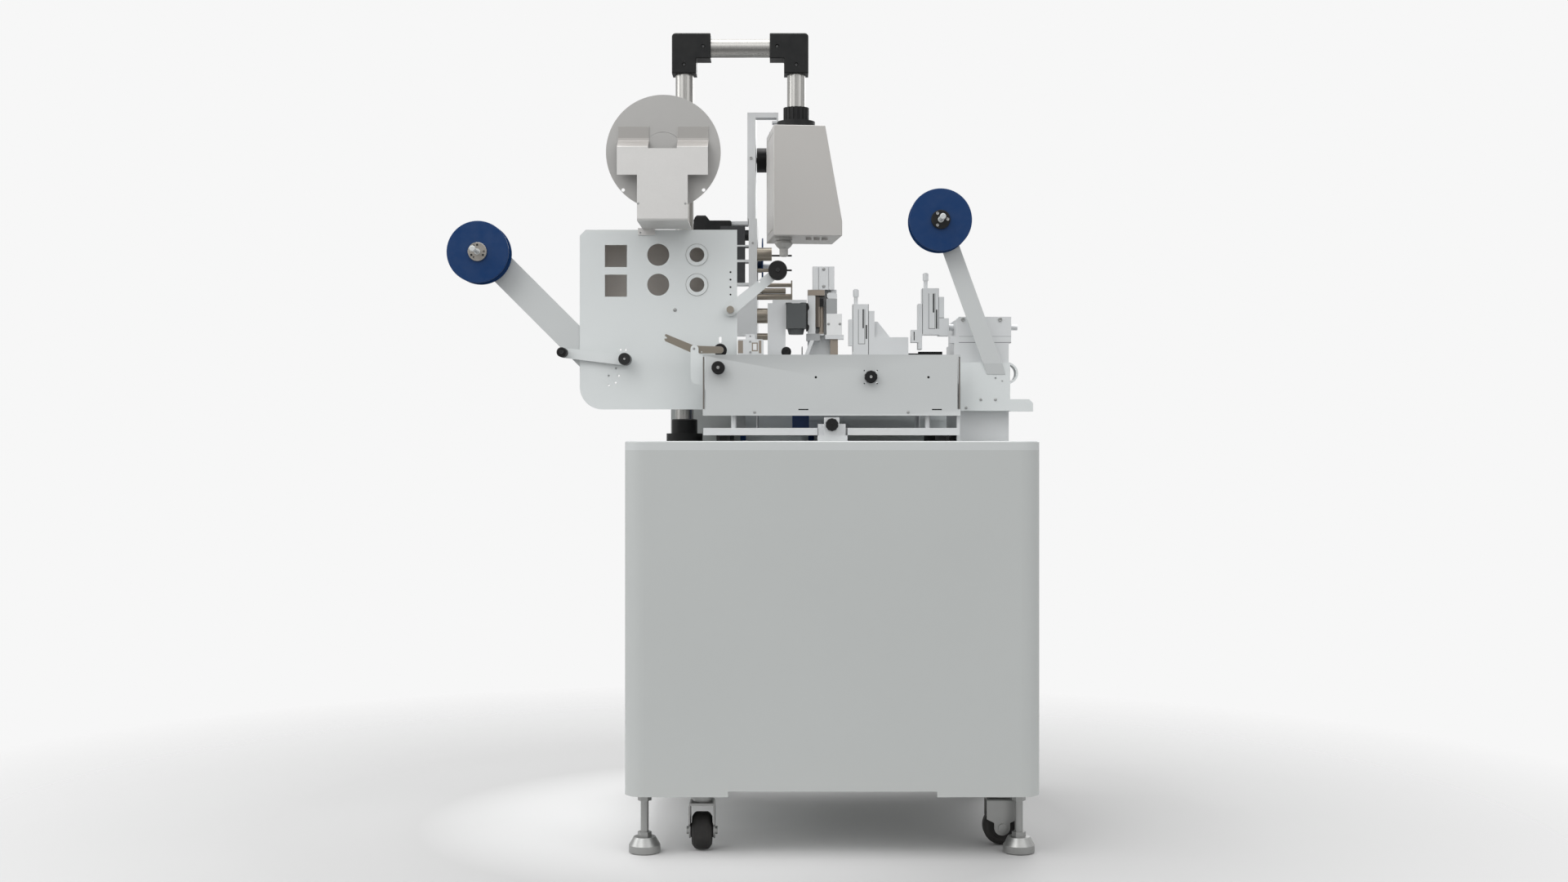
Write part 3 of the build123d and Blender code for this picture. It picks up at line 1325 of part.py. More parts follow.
def valve_block():
    head = block(-189.0, -137.0, 120.0, 160.0, 175.0, 206.0)
    body = chamfer(head.edges().filter_by(Axis.Y), VALVE_EDGE)
    body += block(-173.0, -154.0, 124.0, 156.0, 206.0, 216.5)
    body += block(-180.0, -150.0, 125.0, 155.0, DECK_Z, 175.0)
    return body - rod_y(-163.5, 110.0, 170.0, 212.0, 1.5)


GUIDE_ROLLER_X = -90.6
GUIDE_ROLLER_Z = 180.5
GUIDE_ROLLER_R = 10.0
GUIDE_ROLLER_FRONT = 112.0
GUIDE_ROLLER_BACK = 136.0
DRIVE_X0 = -129.0
DRIVE_X1 = -92.0
DRIVE_TOP = 285.0


def drive_unit():
    body = block(DRIVE_X0, DRIVE_X1, MECH_FRONT, MECH_FRONT + 60, DECK_Z, DRIVE_TOP)
    body += block(-119.0, -48.0, MECH_FRONT, MECH_FRONT + 50, DRIVE_TOP, 292.0)
    body += block(-100.0, -81.0, MECH_FRONT, MECH_FRONT + 8, 171.0, 190.0)
    collar_front = GUIDE_ROLLER_BACK + FACE_GAP
    body += rod_y(GUIDE_ROLLER_X, collar_front, MECH_FRONT, GUIDE_ROLLER_Z, 2 * PIVOT_PIN_R)
    tip = GUIDE_ROLLER_FRONT - CUT_OVER
    return body + rod_y(GUIDE_ROLLER_X, tip, MECH_FRONT, GUIDE_ROLLER_Z, PIVOT_PIN_R)


def guide_roller():
    return roller(GUIDE_ROLLER_X, GUIDE_ROLLER_Z, GUIDE_ROLLER_R, GUIDE_ROLLER_FRONT, GUIDE_ROLLER_BACK)


MOTOR_X0 = -91.5
MOTOR_X1 = -49.5
MOTOR_Y0 = 180.0
MOTOR_TOP = 284.9
MOTOR_LOW = 232.0
MOTOR_EDGE = 4.0
MOTOR_SAG = 3.0
MOTOR_NOSE_R = 18.0
MOTOR_NOSE_LOW = 220.0


def drive_motor():
    """A square motor with a top that dips in the middle and a round nose below."""
    width = MOTOR_X1 - MOTOR_X0
    middle = (MOTOR_X0 + MOTOR_X1) / 2
    motor = block(MOTOR_X0, MOTOR_X1, MOTOR_Y0, MOTOR_Y0 + width, MOTOR_LOW, MOTOR_TOP)
    motor = chamfer(motor.edges().filter_by(Axis.Z), MOTOR_EDGE)
    sag_r = (width * width / 16 + MOTOR_SAG * MOTOR_SAG) / (2 * MOTOR_SAG)
    dip_y1 = MECH_FRONT - FACE_GAP
    motor -= rod_y(middle, MOTOR_Y0 - CUT_OVER, dip_y1, MOTOR_TOP + sag_r - MOTOR_SAG, sag_r)
    nose_y = MOTOR_Y0 + width / 2
    tip_r = MOTOR_NOSE_R - MOTOR_SAG
    cone = [(0, MOTOR_NOSE_LOW), (tip_r, MOTOR_NOSE_LOW), (MOTOR_NOSE_R, MOTOR_LOW), (0, MOTOR_LOW)]
    nose = revolve(Plane.XZ * make_face(Polyline(*cone, close=True)), Axis.Z, 360)
    return motor + Pos(middle, nose_y, 0) * nose


PRESS_ROD_X = 3.5
PRESS_ROD_R = 4.0
PRESS_ROD_Y = MECH_FRONT + 18.0
PRESS_STROKE = 8.0
PRESS_BODY_LOW = 312.5
PRESS_TOP = 361.0
FRAME_T = 10.0
GROOVE_X = (-25.0, -13.5, -2.0)
GROOVE_HALF = 1.5
GROOVE_DEEP = 3.0


def press_frame():
    frame = block(-46.0, 30.0, MECH_BACK, MECH_BACK + FRAME_T, DECK_Z, PRESS_TOP)
    cylinder = block(-36.0, 9.0, MECH_FRONT, MECH_BACK, PRESS_BODY_LOW, PRESS_TOP)
    for x in GROOVE_X:
        x0 = x - GROOVE_HALF
        x1 = x + GROOVE_HALF
        y1 = MECH_FRONT + GROOVE_DEEP
        cylinder -= block(x0, x1, MECH_FRONT - CUT_OVER, y1, PRESS_BODY_LOW - CUT_OVER, PRESS_TOP + CUT_OVER)
    clamp = block(-45.7, -11.0, MECH_FRONT, MECH_BACK, 300.7, PRESS_BODY_LOW)
    bore = rod_z(PRESS_ROD_X, PRESS_ROD_Y, PRESS_BODY_LOW - CUT_OVER, 352.0, PRESS_ROD_R + RUN_FIT)
    return frame + clamp + (cylinder - bore)


def press_head():
    """The stack that rides on the press rod: clevis, plate, tool block, flange and die."""
    front = MECH_FRONT
    back = MECH_BACK - FACE_GAP
    clevis = block(-6.0, 14.6, front + 3, back - 3, 294.5, 307.0)
    head = chamfer(clevis.edges().filter_by(Axis.Y), 3.0)
    head += block(-7.7, 14.6, front, back, 263.0, 294.5)
    head += block(-7.4, 24.7, front, back, 219.6, 263.0)
    head += block(-10.0, 28.6, front, back, 211.0, 219.6)
    head += block(0.4, 16.6, front + 5, back - 5, 179.0, 211.0)
    return head + rod_z(PRESS_ROD_X, PRESS_ROD_Y, 300.0, 340.0, PRESS_ROD_R)


def cutter_unit():
    front = MECH_FRONT
    back = MECH_BACK
    body = block(-46.0, -30.3, front, back, 222.0, 300.6)
    body += block(-30.3, -21.4, front + 5, back, 236.0, 299.0)
    body += block(-21.4, -12.9, front + 5, back, 277.7, 295.6)
    body += block(-49.0, -20.6, front, back, 208.0, 222.0)
    body += rod_z(-17.9, front + 14, 222.0, 277.7, 5.0)
    body += block(-23.0, -12.9, front + 9, back, 219.0, 225.0)
    leg = [(-33.0, 208.0), (-41.2, 208.0), (-52.1, 179.0), (-52.1, DECK_Z), (-44.0, DECK_Z), (-44.0, 179.0)]
    return body + plate_xz(leg, front, MECH_DEEP)


SLIDE_DEEP = 40.0
SPINDLE_INSET = 12.0
THIMBLE_R = 6.0
CHANNEL_DEEP = 2.0


def thimble(x, low, top, radius):
    """A micrometer screw that stands on a slide, with a wider thimble halfway up."""
    y = MECH_FRONT + SPINDLE_INSET
    middle = (low + top) / 2
    screw = rod_z(x, y, low, top, radius)
    return screw + rod_z(x, y, middle, top - CUT_OVER, THIMBLE_R)


def channel(x0, x1, z0, z1):
    return block(x0, x1, MECH_FRONT - CUT_OVER, MECH_FRONT + CHANNEL_DEEP, z0, z1)


def stage_1_body():
    body = block(47.0, 80.0, MECH_FRONT, MECH_FRONT + SLIDE_DEEP, DECK_Z, 283.0)
    body += thimble(54.0, 283.0, 315.0, 4.0)
    body += block(38.5, 47.0, MECH_FRONT, MECH_FRONT + 30, 197.5, 251.5)
    body -= channel(67.2, 70.0, 233.0, 272.5)
    return body - channel(73.7, 76.7, 211.0, 240.0)


def stage_1_table():
    back = MECH_FRONT + SLIDE_DEEP
    table = block(80.0 + FACE_GAP, 92.0, MECH_FRONT, back, 176.0, 269.0)
    gusset = [(92.0, 247.4), (99.0, 247.4), (125.0, 214.7), (92.0, 214.7)]
    table += plate_xz(gusset, MECH_FRONT + 10, 8.0)
    return table + block(92.0, 162.0, MECH_FRONT, back, 176.0, 214.7)


STAGE_2_ROD_Z = 236.0
STAGE_ROD_R = 6.0


def stage_2_body():
    back = MECH_FRONT + SLIDE_DEEP
    body = block(191.0, 225.0, MECH_FRONT, back, 220.0, 316.0)
    body += thimble(198.5, 316.0, 348.5, 4.2)
    body += block(225.0, 236.0, MECH_FRONT, back, 254.0, 298.0)
    body += block(225.0, 246.0, MECH_FRONT, back, 218.0, 254.0)
    for inset in (10, 30):
        body += rod_x(246.0, UPPER_BLOCK_X0, MECH_FRONT + inset, STAGE_2_ROD_Z, STAGE_ROD_R)
    body -= channel(212.5, 215.5, 265.5, 305.0)
    return body - channel(219.0, 222.0, 232.0, 272.0)


def stage_2_table():
    table = block(182.5, 191.0 - FACE_GAP, MECH_FRONT, MECH_FRONT + SLIDE_DEEP, 190.0, 284.0)
    table += block(168.0, 182.5, MECH_FRONT, MECH_FRONT + 30, 204.0, 230.0)
    return table - channel(173.0, 175.0, 208.0, 226.0)


# Right-hand column, side plate, tape guide and chute.
COLUMN_X0 = 252.0
COLUMN_X1 = 363.5
COLUMN_TOP_Z = 200.0
COLUMN_Y1 = 330.0
UPPER_BLOCK_X0 = 256.0
UPPER_BLOCK_X1 = 368.5
UPPER_BLOCK_TOP = 253.5
UPPER_BLOCK_EDGE = 6.0
COLUMN_BOLTS = (270.0, 345.6)
COLUMN_BOLT_Z = 247.8
COLUMN_BOLT_R = 2.5
COLUMN_BOLT_DEEP = 8.0
STUB_X1 = 383.0
STUB_Z = 233.0
LUG_X0 = 244.0
LUG_TOP = 214.0


def right_column():
    column = block(COLUMN_X0, COLUMN_X1, PANEL_FRONT, COLUMN_Y1, 0, COLUMN_TOP_Z)
    upper = block(UPPER_BLOCK_X0, UPPER_BLOCK_X1, PANEL_FRONT, COLUMN_Y1, COLUMN_TOP_Z, UPPER_BLOCK_TOP)
    corner = Vertex(UPPER_BLOCK_X0, PANEL_FRONT, UPPER_BLOCK_TOP)
    upper = chamfer(upper.edges().filter_by(Axis.Y).sort_by_distance(corner)[0], UPPER_BLOCK_EDGE)
    for x in COLUMN_BOLTS:
        upper -= rod_y(x, PANEL_FRONT - CUT_OVER, PANEL_FRONT + COLUMN_BOLT_DEEP, COLUMN_BOLT_Z, COLUMN_BOLT_R)
    lug = block(LUG_X0, UPPER_BLOCK_X0, PANEL_FRONT, PANEL_FRONT + 20, COLUMN_TOP_Z, LUG_TOP)
    return column + upper + lug + rod_x(UPPER_BLOCK_X1, STUB_X1, PANEL_FRONT + 20, STUB_Z, STAGE_ROD_R)


SIDE_X0 = 262.0
SIDE_X1 = 362.0
SIDE_Z0 = 61.0
SIDE_Z1 = 159.0
SPACER_INSET = 4.0
SPACER_DROP = 9.0
SIDE_HOLES = ((332.3, 127.0, 2.0), (346.1, 120.9, 1.5))
GUIDE_RING_X = 356.0
GUIDE_RING_R = 22.0
GUIDE_RING_T = 4.0
CHUTE_X1 = 408.5
CHUTE_Z0 = 60.0
CHUTE_Z1 = 84.5
CHUTE_D = 25.0
CHUTE_SLOPE = 8.0
GUIDE_RING_Z = SIDE_Z1 - GUIDE_RING_R


def tape_guide():
    """A half ring at the plate's right edge that turns the tape downwards."""
    x = GUIDE_RING_X
    ring = rod_y(x, SIDE_PLATE_FRONT, PANEL_FRONT, GUIDE_RING_Z, GUIDE_RING_R)
    inner_r = GUIDE_RING_R - GUIDE_RING_T
    ring -= rod_y(x, SIDE_PLATE_FRONT - CUT_OVER, PANEL_FRONT + CUT_OVER, GUIDE_RING_Z, inner_r)
    reach = 2 * GUIDE_RING_R
    low = GUIDE_RING_Z - reach
    top = GUIDE_RING_Z + reach
    return ring - block(x - reach, x, SIDE_PLATE_FRONT - CUT_OVER, PANEL_FRONT + CUT_OVER, low, top)


def side_plate():
    back = SIDE_PLATE_FRONT + SHEET
    plate = block(SIDE_X0, SIDE_X1, SIDE_PLATE_FRONT, back, SIDE_Z0, SIDE_Z1)
    for x, z, radius in SIDE_HOLES:
        plate -= rod_y(x, SIDE_PLATE_FRONT - CUT_OVER, back + CUT_OVER, z, radius)
    spacer_x1 = SIDE_X1 - SPACER_INSET
    plate += block(SIDE_X0 + SPACER_INSET, spacer_x1, back, PANEL_FRONT, SIDE_Z0 + SPACER_DROP, SIDE_Z1 - SPACER_DROP)
    chute = [
        (SIDE_X1, CHUTE_Z0),
        (CHUTE_X1, CHUTE_Z0),
        (CHUTE_X1, CHUTE_Z1 - CHUTE_SLOPE),
        (CHUTE_X1 - CHUTE_SLOPE, CHUTE_Z1),
        (SIDE_X1, CHUTE_Z1),
    ]
    plate += plate_xz(chute, SIDE_PLATE_FRONT, CHUTE_D)
    return plate + tape_guide()


def main():
    save(cabinet(), "cabinet")
    save(tabletop(), "tabletop")
    save(levelling_feet(), "levelling_feet")
    save(caster_plates(), "caster_plates")
    for place, x, y, turn in caster_places():
        seat = Pos(x, y, 0) * Rot(0, 0, turn)
        save(seat * caster_fork(), "caster_fork_" + place)
        save(seat * caster_wheel(), "caster_wheel_" + place)
    lever_roller_back = LEVER_ROLLER_FRONT + LEVER_ROLLER_W
    over_table = (
        ("arm_tubes", arm_tubes()),
        ("arm_joints", arm_joints()),
        ("hmi_collar", hmi_black_fittings()),
        ("hmi_box", hmi_box()),
        ("hmi_screen", hmi_screen()),
        ("instrument_panel", instrument_panel()),
        ("instrument_box", instrument_box()),
        ("t_bracket", t_bracket()),
        ("backing_disc", backing_disc()),
        ("left_reel_arm", left_reel_arm()),
        ("left_reel", reel(LEFT_REEL_X, LEFT_REEL_FRONT, LEFT_REEL_Z)),
        ("left_reel_hub", reel_hub(LEFT_REEL_X, LEFT_REEL_FRONT, LEFT_REEL_Z)),
        ("right_reel_arm", right_reel_arm()),
        ("right_reel", reel(RIGHT_REEL_X, RIGHT_REEL_FRONT, RIGHT_REEL_Z)),
        ("right_reel_hub", reel_hub(RIGHT_REEL_X, RIGHT_REEL_FRONT, RIGHT_REEL_Z)),
        ("tension_arm", tension_arm()),
        ("tension_roller", roller(TENSION_END_X, TENSION_END_Z, TENSION_ROLLER_R, ROLLER_FRONT, ROLLER_BACK)),
        ("dancer_arm", dancer_arm()),
        ("dancer_roller", roller(DANCER_END_X, DANCER_END_Z, DANCER_ROLLER_R, ROLLER_FRONT, ROLLER_BACK)),
        ("tape_lever", tape_lever()),
        ("lever_roller", roller(LEVER_END_X, LEVER_END_Z, LEVER_ROLLER_R, LEVER_ROLLER_FRONT, lever_roller_back)),
        ("lever_bracket", lever_bracket()),
        ("front_cover", front_cover()),
        ("cover_knob", cover_knob()),
        ("cover_roller", cover_roller()),
        ("base_frame", base_frame()),
        ("slide_rails", slide_rails()),
        ("slide_knob", slide_knob()),
        ("feeder_base", feeder_base()),
        ("film_tower", film_tower()),
        ("film_motors", film_motors()),
        ("film_rollers", film_rollers()),
        ("upper_film_reel", upper_film_reel()),
        ("lower_film_reel", lower_film_reel()),
        ("rear_box", rear_box()),
        ("valve_block", valve_block()),
        ("drive_unit", drive_unit()),
        ("guide_roller", guide_roller()),
        ("drive_motor", drive_motor()),
        ("press_frame", press_frame()),
        ("press_head", press_head()),
        ("cutter_unit", cutter_unit()),
        ("stage_1_body", stage_1_body()),
        ("stage_1_table", stage_1_table()),
        ("stage_2_body", stage_2_body()),
        ("stage_2_table", stage_2_table()),
        ("right_column", right_column()),
        ("side_plate", side_plate()),
    )
    for node, shape in over_table:
        save_on_table(shape, node)


main()
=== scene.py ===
# %% [markdown]
# # Tape and reel machine
# A free-standing machine that packs small electronic parts into carrier tape.
# A sheet steel cabinet on levelling feet and castors carries a worktop.
# The tape comes off the left reel, passes the panel, the deck and its stages, and winds onto the right reel.
# A tube arm carries the operator screen over the deck.
# The frame brings the machine's own solids in.
# Everything here gives them their finish, adds small hardware and sets up the studio.

import json
import math

import bmesh
import bpy
from mathutils import Matrix, Vector


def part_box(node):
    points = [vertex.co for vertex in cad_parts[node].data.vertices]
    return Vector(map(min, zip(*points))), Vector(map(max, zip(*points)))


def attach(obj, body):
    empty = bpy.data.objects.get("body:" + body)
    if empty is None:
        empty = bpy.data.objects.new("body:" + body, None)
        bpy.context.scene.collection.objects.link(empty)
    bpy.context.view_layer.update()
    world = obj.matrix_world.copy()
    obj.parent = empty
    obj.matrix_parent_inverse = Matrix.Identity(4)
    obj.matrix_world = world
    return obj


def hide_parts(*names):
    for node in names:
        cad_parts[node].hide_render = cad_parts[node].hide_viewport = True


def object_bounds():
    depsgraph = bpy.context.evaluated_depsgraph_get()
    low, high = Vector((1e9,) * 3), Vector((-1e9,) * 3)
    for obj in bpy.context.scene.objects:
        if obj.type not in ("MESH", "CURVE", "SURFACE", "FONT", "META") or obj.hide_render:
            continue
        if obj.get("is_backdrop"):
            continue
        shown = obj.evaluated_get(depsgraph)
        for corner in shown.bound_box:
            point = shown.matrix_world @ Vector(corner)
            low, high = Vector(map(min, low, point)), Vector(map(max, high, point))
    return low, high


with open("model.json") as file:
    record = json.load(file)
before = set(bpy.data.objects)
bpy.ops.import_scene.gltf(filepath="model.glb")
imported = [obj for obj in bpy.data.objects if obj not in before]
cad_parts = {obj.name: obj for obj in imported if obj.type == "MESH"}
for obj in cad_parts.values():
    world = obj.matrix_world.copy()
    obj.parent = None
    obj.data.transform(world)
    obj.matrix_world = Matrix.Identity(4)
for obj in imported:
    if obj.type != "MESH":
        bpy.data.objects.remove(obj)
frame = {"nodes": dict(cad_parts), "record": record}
cad_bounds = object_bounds()
nodes = frame["nodes"]
MM = 0.001
print("frame nodes:", len(nodes))

# %% [markdown]
# ## Places on the drawing
# Small hardware is placed from the machine itself.
# The middle of the cabinet's front edge, at the height of the worktop, is the zero of a machinist's drawing.
# `place` turns such drawing sizes in millimetres into the frame's metres.

# %% Drawing places
cabinet_low, cabinet_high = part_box("cabinet")
CENTRE_X = (cabinet_low.x + cabinet_high.x) / 2
FRONT_Y = cabinet_low.y
TABLE_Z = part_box("tabletop")[1].z


def place(x, depth, above_table):
    """A point of the machine from its drawing sizes, which are in millimetres."""
    return Vector((CENTRE_X + x * MM, FRONT_Y + depth * MM, TABLE_Z + above_table * MM))


print("worktop height in metres:", round(TABLE_Z, 3))

# %% [markdown]
# ## Colours
# The enclosure is a light neutral grey, the sheet metal over the worktop a shade paler.
# Colours are named once, as they look on a screen, and turned into linear light for the shaders.

# %% Colours
SCREEN_WHITE = 255
DARK_SHARE = 0.04045
DARK_SLOPE = 12.92
CURVE_SHIFT = 0.055
CURVE_POWER = 2.4


def linear_light(value):
    """One channel from its screen value, by the usual curve of a screen."""
    share = value / SCREEN_WHITE
    if share <= DARK_SHARE:
        return share / DARK_SLOPE
    return ((share + CURVE_SHIFT) / (1 + CURVE_SHIFT)) ** CURVE_POWER


def screen_colour(red, green, blue):
    """Linear light of a colour given as 0 to 255 screen values."""
    return (linear_light(red), linear_light(green), linear_light(blue), 1.0)


CABINET_GREY = screen_colour(181, 184, 183)
BAND_GREY = screen_colour(192, 195, 195)
# The sheet parts over the worktop share one paint in two copies, as painted light: the panel's copy is
# painted lighter against the shade on it, and the cover's and arms' copy is painted darker.
SHEET_LIT_GREY = screen_colour(208, 212, 212)
SHEET_SHADED_GREY = screen_colour(189, 192, 192)
SCREEN_GREY = screen_colour(176, 174, 171)
BRACKET_GREY = screen_colour(206, 205, 203)
DISC_GREY = screen_colour(168, 167, 165)
MILLED_GREY = screen_colour(209, 211, 212)
INSIDE_GREY = screen_colour(222, 217, 212)
STEEL_GREY = screen_colour(164, 163, 160)
ZINC_GREY = screen_colour(158, 159, 158)
BRONZE_GREY = screen_colour(138, 131, 120)
MOULD_BLACK = screen_colour(20, 21, 22)
RUBBER_BLACK = screen_colour(22, 22, 23)
REEL_BLUE = screen_colour(4, 48, 94)
PAINT_BLUE = screen_colour(24, 66, 124)
MOTOR_GREY = screen_colour(75, 78, 79)
DARK_GREY = screen_colour(60, 61, 63)
GLASS_BLACK = screen_colour(22, 24, 27)
DUST_GREY = screen_colour(188, 184, 176)
BARE_STEEL = screen_colour(168, 168, 166)
WARM_BROWN = screen_colour(146, 136, 125)
DEEP_BROWN = screen_colour(88, 80, 73)
WHITE_BLOCK = screen_colour(226, 227, 227)
PLAIN_GREY = screen_colour(158, 160, 161)
# Painted shade at the bottom of slots and channels.
SLOT_SHADE_BLACK = screen_colour(14, 14, 15)
LINE_GREY = screen_colour(96, 98, 99)
# Painted shade for folds that turn away from the light.
FOLD_SHADE = screen_colour(104, 99, 94)
HUB_GREY = screen_colour(150, 146, 140)
# Painted shade for the ears of the T bracket, which slant away from the light, darker at their top.
EAR_LOW_SHADE = screen_colour(176, 173, 170)
EAR_HIGH_SHADE = screen_colour(158, 156, 153)
print("colours named: 31")

# %% [markdown]
# ## Shader groups
# A group holds an effect that several finishes share, with its settings as named sockets.
# The groups give out only colours, masks, roughness and heights, so each finish keeps its own shader.
# These first helpers add one node each and wire its inputs, so that an effect reads like a sum.

# %% Node helpers


def make_node(tree, kind, **settings):
    """A shader node with its plain settings."""
    made = tree.nodes.new(kind)
    for name, value in settings.items():
        setattr(made, name, value)
    return made


def wire(tree, source, target):
    tree.links.new(source, target)


def math_node(tree, operation, first, second=None, clamp=False):
    """A math node whose inputs are sockets or plain numbers."""
    made = make_node(tree, "ShaderNodeMath", operation=operation, use_clamp=clamp)
    for index, value in enumerate((first, second)):
        if value is None:
            continue
        if isinstance(value, (int, float)):
            made.inputs[index].default_value = value
        else:
            wire(tree, value, made.inputs[index])
    return made.outputs[0]


def mix_colour(tree, factor, first, second, blend="MIX"):
    """A colour mix whose inputs are sockets or plain values."""
    made = make_node(tree, "ShaderNodeMix", data_type="RGBA", blend_type=blend)
    for index, value in ((0, factor), (6, first), (7, second)):
        if hasattr(value, "links"):
            wire(tree, value, made.inputs[index])
        else:
            made.inputs[index].default_value = value
    return made.outputs[2]


print("node helpers ready")

# %% [markdown]
# ### Values that vary over a surface
# No real surface is even: paint clouds, metal has a grain and dust lies in patches.
# Noise read at the place on the machine gives that unevenness, and it stays put when a piece moves.
# The helpers below read the place, make noise, spread a range and turn it into lighter and darker.

# %% Surface helpers


def spread(tree, value, low, high, new_low=0.0, new_high=1.0):
    """Maps one range of values to another and holds it there."""
    made = make_node(tree, "ShaderNodeMapRange")
    wire(tree, value, made.inputs["Value"])
    limits = {"From Min": low, "From Max": high, "To Min": new_low, "To Max": new_high}
    for name, limit in limits.items():
        made.inputs[name].default_value = limit
    return made.outputs["Result"]


def noise(tree, vector, scale, detail=3.0, roughness=0.55):
    """Cloudy noise from 0 to 1; its scale is a socket or a plain number."""
    made = make_node(tree, "ShaderNodeTexNoise")
    wire(tree, vector, made.inputs["Vector"])
    if hasattr(scale, "links"):
        wire(tree, scale, made.inputs["Scale"])
    else:
        made.inputs["Scale"].default_value = scale
    made.inputs["Detail"].default_value = detail
    made.inputs["Roughness"].default_value = roughness
    return made.outputs["Fac"]


def own_place(tree):
    """The place on the machine at rest, which a piece keeps when it moves."""
    return make_node(tree, "ShaderNodeTexCoord").outputs["Object"]


def swing(tree, value, size):
    """A noise centred on zero and scaled, so it lightens as much as it darkens."""
    return math_node(tree, "MULTIPLY", math_node(tree, "SUBTRACT", value, 0.5), size)


def shaded(tree, colour, level):
    """The colour made lighter or darker by a level around one."""
    grey = make_node(tree, "ShaderNodeCombineColor")
    for index in range(3):
        wire(tree, level, grey.inputs[index])
    return mix_colour(tree, 1.0, colour, grey.outputs[0], "MULTIPLY")


print("surface helpers ready")

# %% [markdown]
# ### An empty group
# Every group starts the same way: a tree with named inputs, each with a sensible value, and named outputs.
# The finish that uses the group then changes only the inputs that matter to it.

# %% Group builder


def new_group(name, inputs, outputs):
    """An empty shader group with named sockets; inputs map names to (kind, default)."""
    tree = bpy.data.node_groups.new(name, "ShaderNodeTree")
    kinds = {"value": "NodeSocketFloat", "colour": "NodeSocketColor", "vector": "NodeSocketVector"}
    for label, (kind, default) in inputs.items():
        made = tree.interface.new_socket(label, in_out="INPUT", socket_type=kinds[kind])
        made.default_value = default
    for label, kind in outputs.items():
        tree.interface.new_socket(label, in_out="OUTPUT", socket_type=kinds[kind])
    entry = make_node(tree, "NodeGroupInput")
    leave = make_node(tree, "NodeGroupOutput")
    return tree, entry.outputs, leave.inputs


print("group builder ready")

# %% [markdown]
# ### Powder coat
# Enclosure sheet is sprayed with dry paint powder and baked, which leaves a fine orange peel skin.
# Large soft clouds keep a wide panel from looking like one flat colour.
# The fine noise is the skin itself, used as height; it also shifts the sheen a little.

# %% Powder coat group


def powder_coat_group():
    tree, given, out = new_group(
        "Powder coat",
        {
            "Colour": ("colour", (0.5, 0.5, 0.5, 1.0)),
            "Peel size": ("value", 620.0),
            "Clouding": ("value", 0.05),
            "Sheen": ("value", 0.42),
        },
        {"Colour": "colour", "Roughness": "value", "Height": "value"},
    )
    where = own_place(tree)
    clouds = noise(tree, where, scale=3.1, detail=4.0, roughness=0.5)
    peel = noise(tree, where, scale=given["Peel size"], detail=2.0, roughness=0.45)
    specks = noise(tree, where, scale=1900.0, detail=1.0, roughness=0.4)
    shade = swing(tree, clouds, size=given["Clouding"])
    grain = swing(tree, specks, size=0.06)
    level = math_node(tree, "ADD", math_node(tree, "ADD", shade, grain), 1.0)
    wire(tree, shaded(tree, given["Colour"], level), out["Colour"])
    rough = swing(tree, peel, size=0.22)
    wire(tree, math_node(tree, "ADD", rough, given["Sheen"], clamp=True), out["Roughness"])
    wire(tree, peel, out["Height"])
    return tree


POWDER_COAT = powder_coat_group()
print("group:", POWDER_COAT.name)

# %% [markdown]
# ### Brushed metal
# Steel tube and plate are finished with an abrasive belt, which leaves long thin scratches in one direction.
# Noise squeezed across the stroke and stretched along it gives them.
# The stretch is a vector socket, so a tube can be brushed around itself and a plate along its length.

# %% Brushed metal group


def brushed_group():
    tree, given, out = new_group(
        "Brushed metal",
        {
            "Colour": ("colour", (0.6, 0.6, 0.6, 1.0)),
            "Stretch": ("vector", (1.0, 1.0, 1.0)),
            "Depth": ("value", 0.12),
            "Sheen": ("value", 0.34),
        },
        {"Colour": "colour", "Roughness": "value", "Height": "value"},
    )
    where = own_place(tree)
    long_way = make_node(tree, "ShaderNodeVectorMath", operation="MULTIPLY")
    wire(tree, where, long_way.inputs[0])
    wire(tree, given["Stretch"], long_way.inputs[1])
    lines = noise(tree, long_way.outputs[0], scale=1.0, detail=5.0, roughness=0.7)
    patches = noise(tree, where, scale=14.0, detail=3.0, roughness=0.5)
    stroke = swing(tree, lines, size=given["Depth"])
    cloud = swing(tree, patches, size=0.07)
    level = math_node(tree, "ADD", math_node(tree, "ADD", stroke, cloud), 1.0)
    wire(tree, shaded(tree, given["Colour"], level), out["Colour"])
    rough = swing(tree, lines, size=0.3)
    wire(tree, math_node(tree, "ADD", rough, given["Sheen"], clamp=True), out["Roughness"])
    wire(tree, lines, out["Height"])
    return tree


BRUSHED = brushed_group()
print("group:", BRUSHED.name)

# %% [markdown]
# ### Edge wear
# Corners of sheet and blocks are touched most, so paint thins there and metal turns bright.
# A bevelled normal differs from the true one only near an edge.
# That difference, broken up by noise, is the mask.

# %% Edge wear group


def edge_wear_group():
    tree, given, out = new_group(
        "Edge wear",
        {"Width": ("value", 0.0012), "Amount": ("value", 0.5)},
        {"Mask": "value"},
    )
    soft = make_node(tree, "ShaderNodeBevel", samples=4)
    wire(tree, given["Width"], soft.inputs["Radius"])
    true_normal = make_node(tree, "ShaderNodeNewGeometry").outputs["Normal"]
    angle = make_node(tree, "ShaderNodeVectorMath", operation="DOT_PRODUCT")
    wire(tree, soft.outputs[0], angle.inputs[0])
    wire(tree, true_normal, angle.inputs[1])
    edge = spread(tree, angle.outputs["Value"], low=0.995, high=0.86)
    rubbed = noise(tree, own_place(tree), scale=55.0, detail=5.0, roughness=0.65)
    broken = spread(tree, rubbed, low=0.36, high=0.62, new_low=0.15)
    worn = math_node(tree, "MULTIPLY", math_node(tree, "MULTIPLY", edge, broken), given["Amount"])
    wire(tree, worn, out["Mask"])
    return tree


